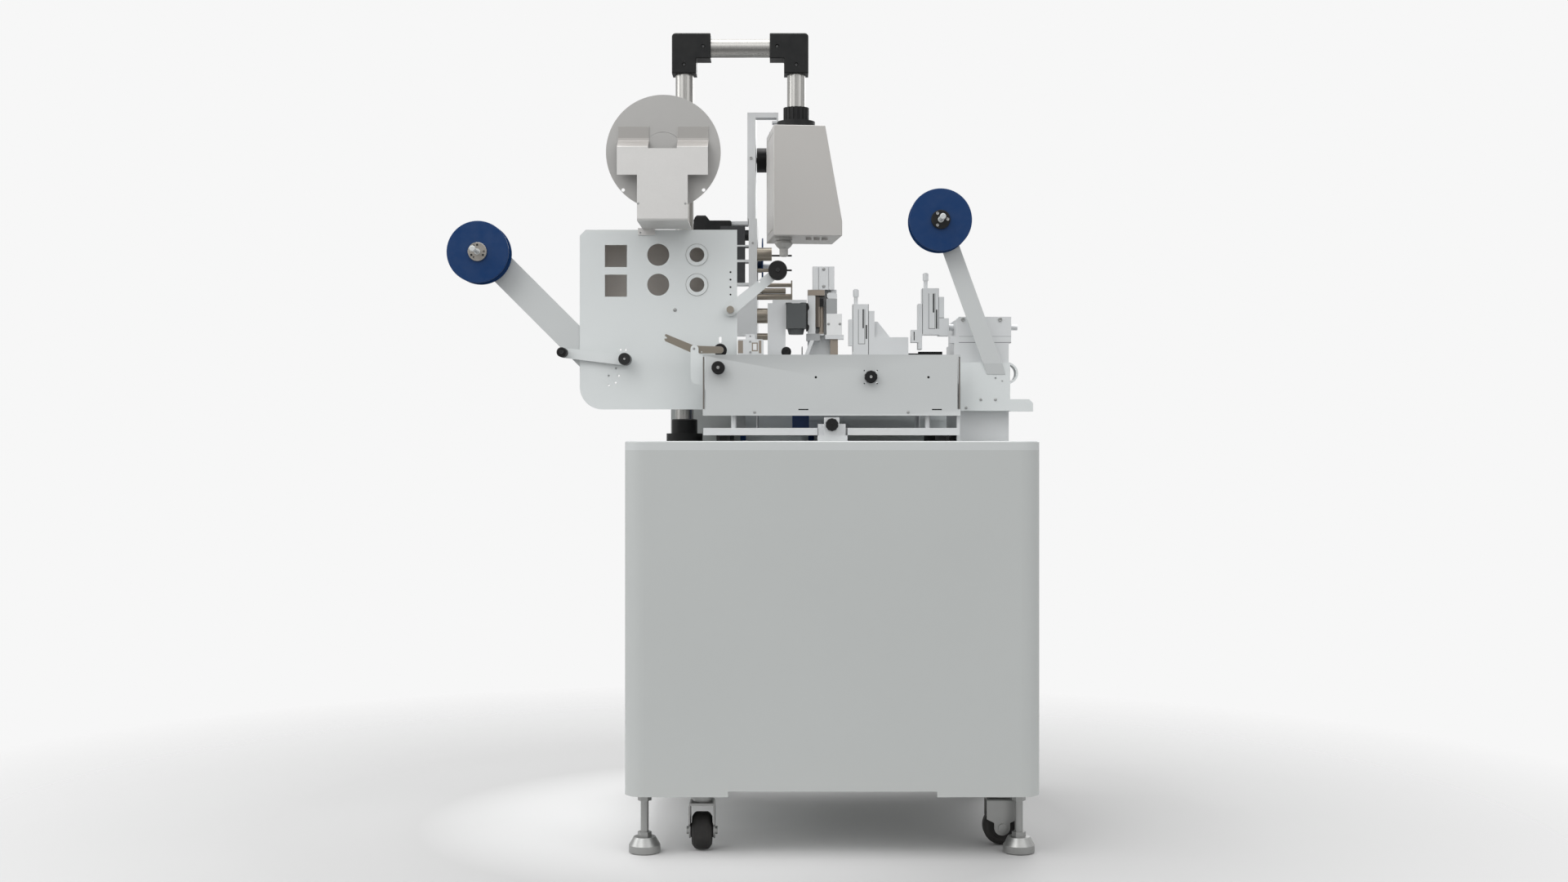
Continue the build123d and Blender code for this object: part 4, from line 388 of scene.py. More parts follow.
EDGE_WEAR = edge_wear_group()
print("group:", EDGE_WEAR.name)

# %% [markdown]
# ### Workshop dust
# Dust settles low on a machine and on its upward faces.
# The mask is strongest near the floor and on faces that look up, and a noise keeps it patchy.

# %% Workshop dust group


def dust_group():
    tree, given, out = new_group(
        "Workshop dust",
        {"Amount": ("value", 0.25), "Reach": ("value", 0.22)},
        {"Mask": "value"},
    )
    where = own_place(tree)
    height = make_node(tree, "ShaderNodeSeparateXYZ")
    wire(tree, where, height.inputs[0])
    low_part = math_node(tree, "DIVIDE", height.outputs["Z"], given["Reach"])
    low_part = math_node(tree, "SUBTRACT", 1.0, low_part, clamp=True)
    facing = make_node(tree, "ShaderNodeSeparateXYZ")
    wire(tree, make_node(tree, "ShaderNodeNewGeometry").outputs["Normal"], facing.inputs[0])
    upward = spread(tree, facing.outputs["Z"], low=0.5, high=1.0, new_high=0.7)
    patches = noise(tree, where, scale=21.0, detail=5.0, roughness=0.6)
    patchy = spread(tree, patches, low=0.3, high=0.7, new_low=0.25)
    both = math_node(tree, "MAXIMUM", low_part, upward)
    mask = math_node(tree, "MULTIPLY", math_node(tree, "MULTIPLY", both, patchy), given["Amount"])
    wire(tree, mask, out["Mask"])
    return tree


DUST = dust_group()
print("group:", DUST.name)

# %% [markdown]
# ### Moulded grain
# Tooling for plastic and rubber parts is spark eroded, and its fine pits print onto every part.
# Small cells make the pits; a wide soft noise stands for fingers and handling.

# %% Moulded grain group


def moulded_group():
    tree, given, out = new_group(
        "Moulded grain",
        {
            "Colour": ("colour", (0.05, 0.05, 0.05, 1.0)),
            "Pit size": ("value", 1100.0),
            "Sheen": ("value", 0.5),
            "Handling": ("value", 0.3),
        },
        {"Colour": "colour", "Roughness": "value", "Height": "value"},
    )
    where = own_place(tree)
    pits = make_node(tree, "ShaderNodeTexVoronoi", feature="SMOOTH_F1")
    wire(tree, where, pits.inputs["Vector"])
    wire(tree, given["Pit size"], pits.inputs["Scale"])
    fingers = noise(tree, where, scale=38.0, detail=4.0, roughness=0.6)
    touched = spread(tree, fingers, low=0.35, high=0.7)
    touched = math_node(tree, "MULTIPLY", touched, given["Handling"])
    paler = mix_colour(tree, 0.35, given["Colour"], DUST_GREY)
    shade = math_node(tree, "MULTIPLY", touched, 0.12)
    wire(tree, mix_colour(tree, shade, given["Colour"], paler), out["Colour"])
    duller = math_node(tree, "MULTIPLY", touched, 0.35)
    wire(tree, math_node(tree, "ADD", duller, given["Sheen"], clamp=True), out["Roughness"])
    wire(tree, pits.outputs["Distance"], out["Height"])
    return tree


MOULDED = moulded_group()
print("group:", MOULDED.name)

# %% [markdown]
# ### Zone mask
# Some pieces carry inserts in another colour, such as a brown clamp, and some get painted shade, such as
# black in a channel or grey on a fold.
# A box given by its two corners picks out the part of the piece that takes the other colour.
# The mask compares the place on the machine with both corners and keeps only what lies between them.

# %% Zone mask group
ZONE_SOFT = 0.05 * MM
ZONE_GROW = 0.4


def zone_mask_group():
    tree, given, out = new_group(
        "Zone mask",
        {"Low": ("vector", (0.0, 0.0, 0.0)), "High": ("vector", (1.0, 1.0, 1.0))},
        {"Mask": "value"},
    )
    where = own_place(tree)
    nearest = None
    for first, second in ((where, given["Low"]), (given["High"], where)):
        gap = make_node(tree, "ShaderNodeVectorMath", operation="SUBTRACT")
        wire(tree, first, gap.inputs[0])
        wire(tree, second, gap.inputs[1])
        parts = make_node(tree, "ShaderNodeSeparateXYZ")
        wire(tree, gap.outputs[0], parts.inputs[0])
        for axis in range(3):
            side = parts.outputs[axis]
            nearest = side if nearest is None else math_node(tree, "MINIMUM", nearest, side)
    wire(tree, spread(tree, nearest, low=-ZONE_SOFT, high=ZONE_SOFT), out["Mask"])
    return tree


ZONE_MASK = zone_mask_group()


def zone(x0, x1, depth0, depth1, z0, z1, tone):
    """A box of the machine, in drawing millimetres, and the colour it takes."""
    low = place(x0 - ZONE_GROW, depth0 - ZONE_GROW, z0 - ZONE_GROW)
    high = place(x1 + ZONE_GROW, depth1 + ZONE_GROW, z1 + ZONE_GROW)
    return low, high, tone


def zones_at(front, back, *rows):
    """Zones that share their two depths, from rows of x0, x1, z0, z1 and tone."""
    return [zone(x0, x1, front, back, z0, z1, tone) for x0, x1, z0, z1, tone in rows]


print("group:", ZONE_MASK.name)

# %% [markdown]
# ## Finishes
# Each finish is one material: a shared group for the body of the effect.
# Wear and dust are laid over it where the real part has them.
# The shader itself stays here in the material, with its constant coat and reflection settings.

# %% Finish helpers


def start_finish(name):
    """A new material with its node tree and its shader."""
    made = bpy.data.materials.new(name)
    made.use_nodes = True
    tree = made.node_tree
    shader = tree.nodes["Principled BSDF"]
    return made, tree, shader


def use_group(tree, group, **values):
    """One use of a shared group; values are sockets or plain settings."""
    made = make_node(tree, "ShaderNodeGroup")
    made.node_tree = group
    for label, value in values.items():
        socket = made.inputs[label.replace("_", " ")]
        if hasattr(value, "links"):
            wire(tree, value, socket)
        else:
            socket.default_value = value
    return made.outputs


def bump(tree, shader, height, strength, distance):
    """Fine relief of the surface, at most `distance` metres high."""
    made = make_node(tree, "ShaderNodeBump")
    made.inputs["Strength"].default_value = strength
    made.inputs["Distance"].default_value = distance
    wire(tree, height, made.inputs["Height"])
    wire(tree, made.outputs[0], shader.inputs["Normal"])


def tint_zones(tree, colour, zones):
    """The finish's colour with each zone laid over it in turn."""
    for low, high, tone in zones:
        mask = use_group(tree, ZONE_MASK, Low=low, High=high)["Mask"]
        colour = mix_colour(tree, mask, colour, tone)
    return colour


print("finish helpers ready")

# %% [markdown]
# ### Painted sheet
# The cabinet, the panel and the covers share one recipe in different greys.
# Wear shows bare steel at the edges, and dust dulls the lower part of the cabinet.
# The fine skin of the paint is a bump of a few hundredths of a millimetre.

# %% Painted sheet recipe
PAINT_SPECULAR = 0.45
PEEL_SIZE = 620.0
PEEL_HEIGHT = 0.04 * MM
PEEL_STRENGTH = 0.5
DUST_DULLS = 0.4
BARE_METALLIC = 0.8


def painted_sheet(name, colour, sheen=0.42, wear=0.35, dust=0.2, zones=()):
    made, tree, shader = start_finish(name)
    colour = tint_zones(tree, colour, zones)
    coat = use_group(tree, POWDER_COAT, Colour=colour, Sheen=sheen, Peel_size=PEEL_SIZE)
    worn = use_group(tree, EDGE_WEAR, Amount=wear)["Mask"]
    dusty = use_group(tree, DUST, Amount=dust)["Mask"]
    painted = mix_colour(tree, worn, coat["Colour"], BARE_STEEL)
    wire(tree, mix_colour(tree, dusty, painted, DUST_GREY), shader.inputs["Base Color"])
    duller = math_node(tree, "MULTIPLY", dusty, DUST_DULLS)
    rough = math_node(tree, "ADD", coat["Roughness"], duller, clamp=True)
    wire(tree, rough, shader.inputs["Roughness"])
    wire(tree, math_node(tree, "MULTIPLY", worn, BARE_METALLIC), shader.inputs["Metallic"])
    shader.inputs["Specular IOR Level"].default_value = PAINT_SPECULAR
    bump(tree, shader, coat["Height"], PEEL_STRENGTH, PEEL_HEIGHT)
    return made


def thin_sheet(name, colour, *zones):
    """The satin paint of the sheet parts over the worktop, which are wiped and hold little dust."""
    return painted_sheet(name, colour, sheen=0.38, dust=0.08, zones=zones)


print("paint recipe ready")

# %% [markdown]
# ### Painted pieces
# Each painted piece takes the recipe in its own grey, and the feeder base takes it in blue.
# Pin ends and caps take their own colour by zones, and the folds that turn away from the light get painted
# shade by zones.

# %% Painted sheet finishes
cabinet_paint = painted_sheet("cabinet_paint", CABINET_GREY, dust=0.16, wear=0.2)
band_paint = painted_sheet("band_paint", BAND_GREY, dust=0.1, wear=0.2)
# The panel and the other sheet parts take the sheet paint painted lighter, as painted light.
sheet_paint = thin_sheet("sheet_paint", SHEET_LIT_GREY)
# Painted shade on the cover's two side folds, which turn away from the light.
fold_shade_zones = zones_at(
    59,
    63,
    (-256.7, -252.9, 64.0, 167.0, FOLD_SHADE),
    (250.6, 255.4, 64.0, 167.0, FOLD_SHADE),
)
pin_zone = zone(-230.9, -220.7, 30, 59.4, 140.2, 150.4, MOULD_BLACK)
# The cover and the arms take the sheet paint painted darker, as painted shade.
cover_paint = thin_sheet("cover_paint", SHEET_SHADED_GREY, *fold_shade_zones, pin_zone)
arm_paint = thin_sheet("arm_paint", SHEET_SHADED_GREY)
ARM_PIN_FRONT, ARM_PIN_BACK = 100, 140.2
tension_zones = zones_at(
    ARM_PIN_FRONT,
    ARM_PIN_BACK,
    (-430.0, -404.5, 153.0, 178.2, MOULD_BLACK),
    (-550.0, -539.0, 174.0, 185.0, MOULD_BLACK),
)
tension_paint = thin_sheet("tension_paint", SHEET_LIT_GREY, *tension_zones)
dancer_zones = zones_at(
    ARM_PIN_FRONT,
    ARM_PIN_BACK,
    (-214.4, -194.4, 257.0, 277.0, BRONZE_GREY),
    (-113.0, -102.6, 340.4, 350.8, MOULD_BLACK),
)
dancer_paint = thin_sheet("dancer_paint", SHEET_LIT_GREY, *dancer_zones)
inside_paint = painted_sheet("inside_paint", INSIDE_GREY, sheen=0.45, dust=0.1)
fitting_zone = zone(-190, 60, 120, 400, 370, 423, STEEL_GREY)
screen_paint = painted_sheet("screen_paint", SCREEN_GREY, sheen=0.36, dust=0.08, zones=(fitting_zone,))
blue_paint = painted_sheet("blue_paint", PAINT_BLUE, sheen=0.35, dust=0.15)
motor_paint = painted_sheet("motor_grey", MOTOR_GREY, sheen=0.4, dust=0.2)
dark_paint = painted_sheet("dark_metal", DARK_GREY, sheen=0.38, dust=0.2)
print("painted sheet finishes: 12")

# %% [markdown]
# ### Metals
# Machined blocks are clear anodised, so they keep a fine milling grain under a hard clear skin.
# Tube and plate are brushed; the direction of the stroke is the finish's own stretch value.
# A metal mirrors the room, so its roughness matters more than its colour.

# %% Metal recipe
BRIGHT_EDGE = (0.8, 0.8, 0.79, 1.0)
METAL_WEAR = 0.4
METAL_DUST = 0.1
POLISHED_EDGE = -0.1
GROOVE_HEIGHT = 0.03 * MM
GROOVE_STRENGTH = 0.4


def metal(name, colour, stretch, sheen=0.34, depth=0.14, metallic=0.9, zones=()):
    made, tree, shader = start_finish(name)
    colour = tint_zones(tree, colour, zones)
    brushed = use_group(tree, BRUSHED, Colour=colour, Stretch=stretch, Sheen=sheen, Depth=depth)
    worn = use_group(tree, EDGE_WEAR, Amount=METAL_WEAR)["Mask"]
    dusty = use_group(tree, DUST, Amount=METAL_DUST)["Mask"]
    bright = mix_colour(tree, worn, brushed["Colour"], BRIGHT_EDGE)
    wire(tree, mix_colour(tree, dusty, bright, DUST_GREY), shader.inputs["Base Color"])
    smooth = math_node(tree, "MULTIPLY", worn, POLISHED_EDGE)
    rough = math_node(tree, "ADD", brushed["Roughness"], smooth, clamp=True)
    wire(tree, rough, shader.inputs["Roughness"])
    shader.inputs["Metallic"].default_value = metallic
    bump(tree, shader, brushed["Height"], GROOVE_STRENGTH, GROOVE_HEIGHT)
    return made


print("metal recipe ready")

# %% [markdown]
# ### Plain metals
# The upright tubes are brushed along their length; hubs, disc and T bracket have no direction.
# The ears of the bracket slant away from the light, so two zones paint shade on them, darkest at their top.
# Two slots run across the front of the film rollers, and the shade in them is painted black by zones as
# well.

# %% Metal finishes
ALONG_X = (25.0, 900.0, 900.0)
ALONG_Z = (900.0, 900.0, 18.0)
FINE_MILLED = (260.0, 260.0, 900.0)
EVEN = (300.0, 300.0, 300.0)
EVEN_FINE = (350.0, 350.0, 350.0)


def station_metal(name, *zones):
    """The milled finish of a machined block, with its own coloured inserts."""
    return metal(name, MILLED_GREY, FINE_MILLED, sheen=0.42, metallic=0.35, depth=0.08, zones=zones)


milled = station_metal("machined_aluminium")
tube_steel = metal("tube_steel", STEEL_GREY, ALONG_Z, sheen=0.3, metallic=1.0, depth=0.2)
zinc_steel = metal("zinc_steel", ZINC_GREY, FINE_MILLED, sheen=0.36, metallic=0.9)
# Painted shade on the bracket's ears, darker at their top.
ear_shade_zones = zones_at(
    5,
    60,
    (-424.0, -244.0, 577.8, 599.0, EAR_LOW_SHADE),
    (-424.0, -244.0, 599.0, 640.0, EAR_HIGH_SHADE),
)
bracket_steel = metal(
    "bracket_steel", BRACKET_GREY, EVEN, sheen=0.42, metallic=0.5, depth=0.1, zones=ear_shade_zones
)
hub_steel = metal("hub_steel", HUB_GREY, EVEN, sheen=0.36, metallic=0.8, depth=0.1)
disc_steel = metal("disc_steel", DISC_GREY, EVEN_FINE, sheen=0.45, metallic=0.45, depth=0.06)
lever_steel = metal("lever_steel", BRONZE_GREY, ALONG_X, sheen=0.4, metallic=0.7)
# Painted shade in the two slots across the rollers.
roller_slot_shade_zones = zones_at(
    412,
    420,
    (-121.5, -77.0, 370.0, 376.0, SLOT_SHADE_BLACK),
    (-121.5, -77.0, 402.0, 408.0, SLOT_SHADE_BLACK),
)
film_roller_finish = metal(
    "film_roller_finish", BRONZE_GREY, ALONG_X, sheen=0.3, metallic=0.85, zones=roller_slot_shade_zones
)
print("plain metal finishes: 8")

# %% [markdown]
# ### Press, cutter and slides
# The blocks of the work station are milled aluminium with pieces of other colours let into them.
# The two height slides are stacks of plates, with hairlines where the plates meet and narrow channels.
# Cutting each one out would cost many faces, so the hairlines are zones of the finish, and the channels get
# painted shade by zones.

# %% Work station finishes
STATION_FRONT = 199
STATION_BACK = 236


def insert(x0, x1, z0, z1, tone, back=STATION_BACK):
    """A piece of another colour let into the front of the work station."""
    return zone(x0, x1, STATION_FRONT, back, z0, z1, tone)


def plate_gap(x0, x1, z0, z1):
    """A hairline where two plates of a slide meet."""
    return insert(x0, x1, z0, z1, LINE_GREY, back=200.6)


def slide_slot_shade(x0, x1, z0, z1):
    """Painted shade: the bottom of a narrow channel in a slide, painted black."""
    return zone(x0, x1, 200.8, 202.5, z0, z1, SLOT_SHADE_BLACK)


press_frame_finish = station_metal(
    "press_frame_finish",
    insert(-6.7, 14.6, 263.8, 264.2, LINE_GREY, back=246),
    insert(-45.7, -11.0, 300.7, 312.2, WARM_BROWN),
)
press_head_finish = station_metal(
    "press_head_finish",
    insert(0.4, 16.6, 179.0, 210.5, WARM_BROWN),
    insert(-7.7, 14.6, 263.5, 294.5, PLAIN_GREY),
    insert(-7.4, 24.7, 219.9, 262.8, WHITE_BLOCK),
)
cutter_finish = station_metal(
    "cutter_finish",
    insert(-30.0, -21.4, 236.0, 299.0, DEEP_BROWN),
    # Painted shade in a slot of the cutter.
    insert(-21.0, -12.9, 277.9, 295.6, SLOT_SHADE_BLACK, back=234),
    insert(-23.0, -12.9, 222.4, 277.4, WARM_BROWN, back=225),
    insert(-49.0, -20.6, 208.4, 221.6, PLAIN_GREY),
)
stage_1_finish = station_metal(
    "stage_1_finish",
    plate_gap(47.0, 47.3, 185.0, 283.0),
    plate_gap(58.5, 58.8, 201.0, 272.0),
    plate_gap(71.7, 72.0, 201.0, 272.0),
    plate_gap(58.5, 72.0, 200.7, 201.0),
    plate_gap(79.3, 79.7, 178.0, 283.0),
    slide_slot_shade(67.2, 70.0, 233.0, 272.5),
    slide_slot_shade(73.7, 76.7, 211.0, 240.0),
)
stage_2_finish = station_metal(
    "stage_2_finish",
    plate_gap(191.2, 191.5, 222.0, 315.0),
    plate_gap(204.0, 204.3, 232.5, 305.0),
    plate_gap(217.0, 217.3, 232.5, 305.0),
    plate_gap(204.0, 217.3, 232.2, 232.5),
    plate_gap(224.7, 225.0, 232.0, 315.0),
    plate_gap(225.6, 245.0, 254.6, 254.9),
    slide_slot_shade(212.5, 215.5, 265.5, 305.0),
    slide_slot_shade(219.0, 222.0, 232.0, 272.0),
)
stage_2_table_finish = station_metal("stage_2_table_finish", slide_slot_shade(173.0, 175.0, 208.0, 226.0))
print("work station finishes: 6")

# %% [markdown]
# ### Valve block, column and base
# The valve block shows brown plates and a white label, and the column two fine seams.
# The base frame has an upright strip of plainer grey on its front.

# %% Block finishes
plate_zones = zones_at(
    119,
    121,
    (-188.0, -178.5, 178.0, 203.0, WARM_BROWN),
    (-160.0, -148.5, 182.0, 199.0, WARM_BROWN),
    (-146.0, -141.5, 178.0, 203.0, WARM_BROWN),
)
label_zone = zone(-157.5, -151.0, 118.9, 121.1, 184.5, 196.5, WHITE_BLOCK)
valve_finish = station_metal("valve_finish", *plate_zones, label_zone)
seam_zones = zones_at(
    149,
    150.6,
    (262.0, 384.0, 200.9, 201.3, LINE_GREY),
    (262.0, 384.0, 213.4, 213.6, PLAIN_GREY),
)
column_finish = station_metal("column_finish", *seam_zones)
base_finish = station_metal("base_finish", insert(-203.0, -175.0, 26.5, 102.5, PLAIN_GREY, back=207))
print("block finishes: 3")

# %% [markdown]
# ### Plastics, rubber and glass
# Moulded parts mirror less than paint, and handling rubs their edges a little paler.
# One recipe serves them all: the shared grain, with wear and a little dust over it.

# %% Moulded recipe
MOULD_SPECULAR = 0.22
MOULD_DUST = 0.06
RUBBED_PALER = 0.12
PIT_STRENGTH = 0.35
PIT_HEIGHT = 0.05 * MM
GLASS_WAVE = 0.01 * MM


def moulded(name, colour, sheen=0.5, pits=1100.0, wear=0.25, handling=0.3, depth=PIT_HEIGHT, zones=()):
    made, tree, shader = start_finish(name)
    shader.inputs["Specular IOR Level"].default_value = MOULD_SPECULAR
    colour = tint_zones(tree, colour, zones)
    grain = use_group(tree, MOULDED, Colour=colour, Sheen=sheen, Pit_size=pits, Handling=handling)
    worn = use_group(tree, EDGE_WEAR, Amount=wear)["Mask"]
    dusty = use_group(tree, DUST, Amount=MOULD_DUST)["Mask"]
    paler = mix_colour(tree, RUBBED_PALER, colour, DUST_GREY)
    scuffed = mix_colour(tree, worn, grain["Colour"], paler)
    wire(tree, mix_colour(tree, dusty, scuffed, DUST_GREY), shader.inputs["Base Color"])
    wire(tree, grain["Roughness"], shader.inputs["Roughness"])
    bump(tree, shader, grain["Height"], PIT_STRENGTH, depth)
    return made


print("moulded recipe ready")

# %% [markdown]
# ### Moulded pieces
# Joint castings and knobs are black nylon with a fine grain, the rollers are softer and duller.
# The reels are blue moulded plastic with a low gloss.
# The operator screen is glass over a dark display, so it is smooth with a thin film of finger marks.
# The film motors are dark, with bright seams and a bright shaft, which are zones.

# %% Plastic and rubber finishes
black_plastic = moulded("black_plastic", MOULD_BLACK, sheen=0.42)
plug_zone = zone(-110.0, 20.0, 200, 330, 370.0, 430.0, SCREEN_GREY)
collar_finish = moulded("collar_finish", MOULD_BLACK, sheen=0.42, zones=(plug_zone,))
roller_black = moulded("roller_black", RUBBER_BLACK, sheen=0.55, pits=1700.0)
REEL_MOULD = {"sheen": 0.34, "pits": 800.0, "wear": 0.15}
reel_blue = moulded("reel_blue", REEL_BLUE, handling=0.4, **REEL_MOULD)
hub_zone = zone(-156.0, -134.0, 400, 600, 590.0, 660.0, MOULD_BLACK)
film_reel_finish = moulded("film_reel_finish", REEL_BLUE, zones=(hub_zone,), **REEL_MOULD)
GLASS = {"sheen": 0.08, "pits": 200.0, "wear": 0.0, "depth": GLASS_WAVE}
screen_face = moulded("screen_face", GLASS_BLACK, handling=0.5, **GLASS)
lower_motor_zones = zones_at(
    429,
    469,
    (-235.0, -172.0, 426.9, 429.6, MILLED_GREY),
    (-235.0, -172.0, 392.7, 397.3, MILLED_GREY),
    (-235.0, -172.0, 342.0, 346.6, MILLED_GREY),
)
shaft_zone = zone(-213.8, -172.0, 479, 521, 480.0, 488.0, MILLED_GREY)
motor_zones = (*lower_motor_zones, shaft_zone)
film_motor_finish = moulded("film_motor_finish", DARK_GREY, sheen=0.4, pits=600.0, zones=motor_zones)
print("plastic, rubber and glass finishes: 7")

# %% [markdown]
# ## Finishes onto the machine
# The record says which slot each piece takes; a table from slot to finish puts them on.
# A second table then gives some pieces a finish of their own, most of them for their inserts, some for
# painted shade in slots and on folds.

# %% Put the finishes on
FINISH_OF_SLOT = {
    "cabinet_paint": cabinet_paint,
    "sheet_paint": sheet_paint,
    "screen_paint": screen_paint,
    "screen_face": screen_face,
    "machined_aluminium": milled,
    "tube_steel": tube_steel,
    "zinc_steel": zinc_steel,
    "black_plastic": black_plastic,
    "roller_black": roller_black,
    "reel_blue": reel_blue,
    "blue_paint": blue_paint,
    "motor_grey": motor_paint,
    "dark_metal": dark_paint,
    "lever_steel": lever_steel,
    "disc_steel": disc_steel,
    "bracket_steel": bracket_steel,
}


def put_on(node, finish):
    """Gives every slot of a piece that finish, and makes a slot where it has none."""
    piece = nodes[node]
    if not piece.material_slots:
        piece.data.materials.append(None)
    for slot in piece.material_slots:
        slot.link = "OBJECT"
        slot.material = finish


for row in frame["record"]["subparts"]:
    put_on(row["node"], FINISH_OF_SLOT[row["material_slot"]])
OWN_FINISH = {
    "tabletop": band_paint,
    "front_cover": cover_paint,
    "left_reel_arm": arm_paint,
    "right_reel_arm": arm_paint,
    "hmi_collar": collar_finish,
    "tension_arm": tension_paint,
    "dancer_arm": dancer_paint,
    "left_reel_hub": hub_steel,
    "right_column": column_finish,
    "instrument_box": inside_paint,
    "press_frame": press_frame_finish,
    "press_head": press_head_finish,
    "cutter_unit": cutter_finish,
    "stage_1_body": stage_1_finish,
    "stage_2_body": stage_2_finish,
    "stage_2_table": stage_2_table_finish,
    "valve_block": valve_finish,
    "base_frame": base_finish,
    "film_rollers": film_roller_finish,
    "film_motors": film_motor_finish,
    "upper_film_reel": film_reel_finish,
}
for node, finish in OWN_FINISH.items():
    put_on(node, finish)
print("pieces with a finish of their own:", len(OWN_FINISH))

# %% [markdown]
# ## Soft highlights on edges
# Folded sheet and cut blocks never have a perfectly sharp edge.
# Faces that meet at a low angle are shaded smooth, and the rest keep their crisp fold.

# %% Smooth shading
SMOOTH_ANGLE = math.radians(28)
for piece in nodes.values():
    piece.data.shade_smooth()
    piece.data.set_sharp_from_angle(angle=SMOOTH_ANGLE)
print("smooth shading set on", len(nodes), "pieces")

# %% [markdown]
# ## Cap screws
# The sheet parts are held with hexagon socket cap screws, a turned head with a six-sided hole.
# A head is built as rings of points joined by faces, so it has a real chamfer and a real socket.
# Collars, bezels and the guide needle are turned too, and come from the same function.

# %% Turned piece builder
RING_POINTS = 30
SHARP_TURNED = math.radians(35)


def ring(mesh, radius, height, hexagon=0.0):
    """A loop of points; hexagon from 0 to 1 pulls a round loop into six flats."""
    loop = []
    for index in range(RING_POINTS):
        angle = 2 * math.pi * index / RING_POINTS
        within = (angle % (math.pi / 3)) - math.pi / 6
        flat = math.cos(math.pi / 6) / math.cos(within)
        reach = radius * (1 + hexagon * (flat - 1))
        loop.append(mesh.verts.new((reach * math.cos(angle), reach * math.sin(angle), height)))
    return loop


def bridge(mesh, lower, upper):
    """Faces all the way round between two loops of points."""
    for index in range(RING_POINTS):
        after = (index + 1) % RING_POINTS
        mesh.faces.new((lower[index], lower[after], upper[after], upper[index]))


def finished_mesh(mesh, name, sharp_angle):
    """Turns the faces outward and keeps only the edges over that angle sharp."""
    bmesh.ops.recalc_face_normals(mesh, faces=mesh.faces)
    data = bpy.data.meshes.new(name)
    mesh.to_mesh(data)
    mesh.free()
    data.shade_smooth()
    data.set_sharp_from_angle(angle=sharp_angle)
    return data


def turned_mesh(name, profile):
    """A turned piece from (radius, height, hexagon) rings, closed at both ends."""
    mesh = bmesh.new()
    loops = [ring(mesh, *step) for step in profile]
    for lower, upper in zip(loops, loops[1:]):
        bridge(mesh, lower, upper)
    mesh.faces.new(list(reversed(loops[0])))
    mesh.faces.new(loops[-1])
    return finished_mesh(mesh, name, SHARP_TURNED)


print("turned piece builder ready")

# %% [markdown]
# ### Screw heads
# A cap screw has a tall round head, and a button screw a low domed one.
# Both follow from the size of the thread, in the proportions of real screws, so one number sets a screw.

# %% Screw profiles


def cap_screw_profile(size):
    """Head of a socket cap screw for a thread of that size, in metres."""
    head = size * 0.85
    tall = size * 0.62
    lip = size * 0.1
    hole = size * 0.48
    return (
        (head, 0.0, 0.0),
        (head, tall - lip, 0.0),
        (head - lip, tall, 0.0),
        (hole + lip * 0.5, tall, 0.3),
        (hole, tall - lip * 0.6, 1.0),
        (hole, tall * 0.35, 1.0),
    )


def button_profile(size):
    """Low domed head of a button screw for a thread of that size, in metres."""
    head = size * 0.95
    tall = size * 0.5
    hole = size * 0.36
    return (
        (head, 0.0, 0.0),
        (head * 0.97, tall * 0.4, 0.0),
        (head * 0.8, tall * 0.8, 0.0),
        (head * 0.55, tall, 0.0),
        (hole + size * 0.03, tall, 0.6),
        (hole, tall * 0.95, 1.0),
        (hole, tall * 0.35, 1.0),
    )


print("screw profiles ready")

# %% [markdown]
# ### Putting hardware on the machine
# A new piece rides a body of the machine, so that it moves with it, and names the slot of its finish.
# A turned piece is also turned to look out of its surface, which for most of them is to the front.

# %% Hardware helpers
FRONT = (0, -1, 0)


def stand(name, data, body, slot_name, finish=None):
    """Puts a mesh on a body of the machine, in its slot's own finish unless another is given."""
    made = bpy.data.objects.new(name, data)
    bpy.context.scene.collection.objects.link(made)
    data.materials.append(finish or FINISH_OF_SLOT[slot_name])
    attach(made, body)
    return made


def set_down(name, data, spot, body, slot_name, toward=FRONT):
    """Stands a turned piece at a spot of the drawing, with its own Z along `toward`."""
    turn = Vector(toward).to_track_quat("Z", "Y").to_matrix().to_4x4()
    data.transform(Matrix.Translation(place(*spot)) @ turn)
    return stand(name, data, body, slot_name)


print("hardware helpers ready")

# %% [markdown]
# ### Screws where the machine has them
# The sheets and blocks are held with small button and cap screws.
# Each row names the screw, its thread, its place on the drawing and the body it moves with.
# Three more stand on a ring around the middle of the right reel's hub.

# %% Set the screws
SCREWS = (
    ("bracket_screw_left", "button", 2.5, -381.3, 2.0, 465.9, "machine"),
    ("bracket_screw_right", "button", 2.5, -288.6, 2.0, 465.9, "machine"),
    ("panel_screw", "button", 4.0, -317.7, 150.0, 267.7, "machine"),
    ("tower_screw_upper", "cap", 4.0, -166.8, 400.0, 615.6, "machine"),
    ("tower_screw_lower", "cap", 3.0, -163.3, 400.0, 431.1, "machine"),
    ("cover_screw_left", "button", 3.0, -153.8, 60.0, 57.4, "machine"),
    ("cover_screw_right", "button", 3.0, 152.1, 60.0, 57.4, "machine"),
    ("block_screw_left", "cap", 5.0, 270.0, 150.0, 247.8, "machine"),
    ("block_screw_right", "cap", 5.0, 345.6, 150.0, 247.8, "machine"),
    ("plate_screw_left", "button", 3.0, 302.7, 115.0, 83.5, "machine"),
    ("plate_screw_right", "button", 3.0, 332.3, 115.0, 83.5, "machine"),
    ("plate_screw_low", "button", 3.0, 273.2, 115.0, 67.0, "machine"),
    ("valve_screw_top", "cap", 2.5, -163.5, 120.0, 201.0, "machine"),
    ("valve_screw_low", "cap", 2.5, -163.5, 120.0, 180.0, "machine"),
    ("tool_screw_left", "button", 3.0, -3.0, 200.0, 242.0, "press"),
    ("tool_screw_right", "button", 3.0, 20.5, 200.0, 242.0, "press"),
)
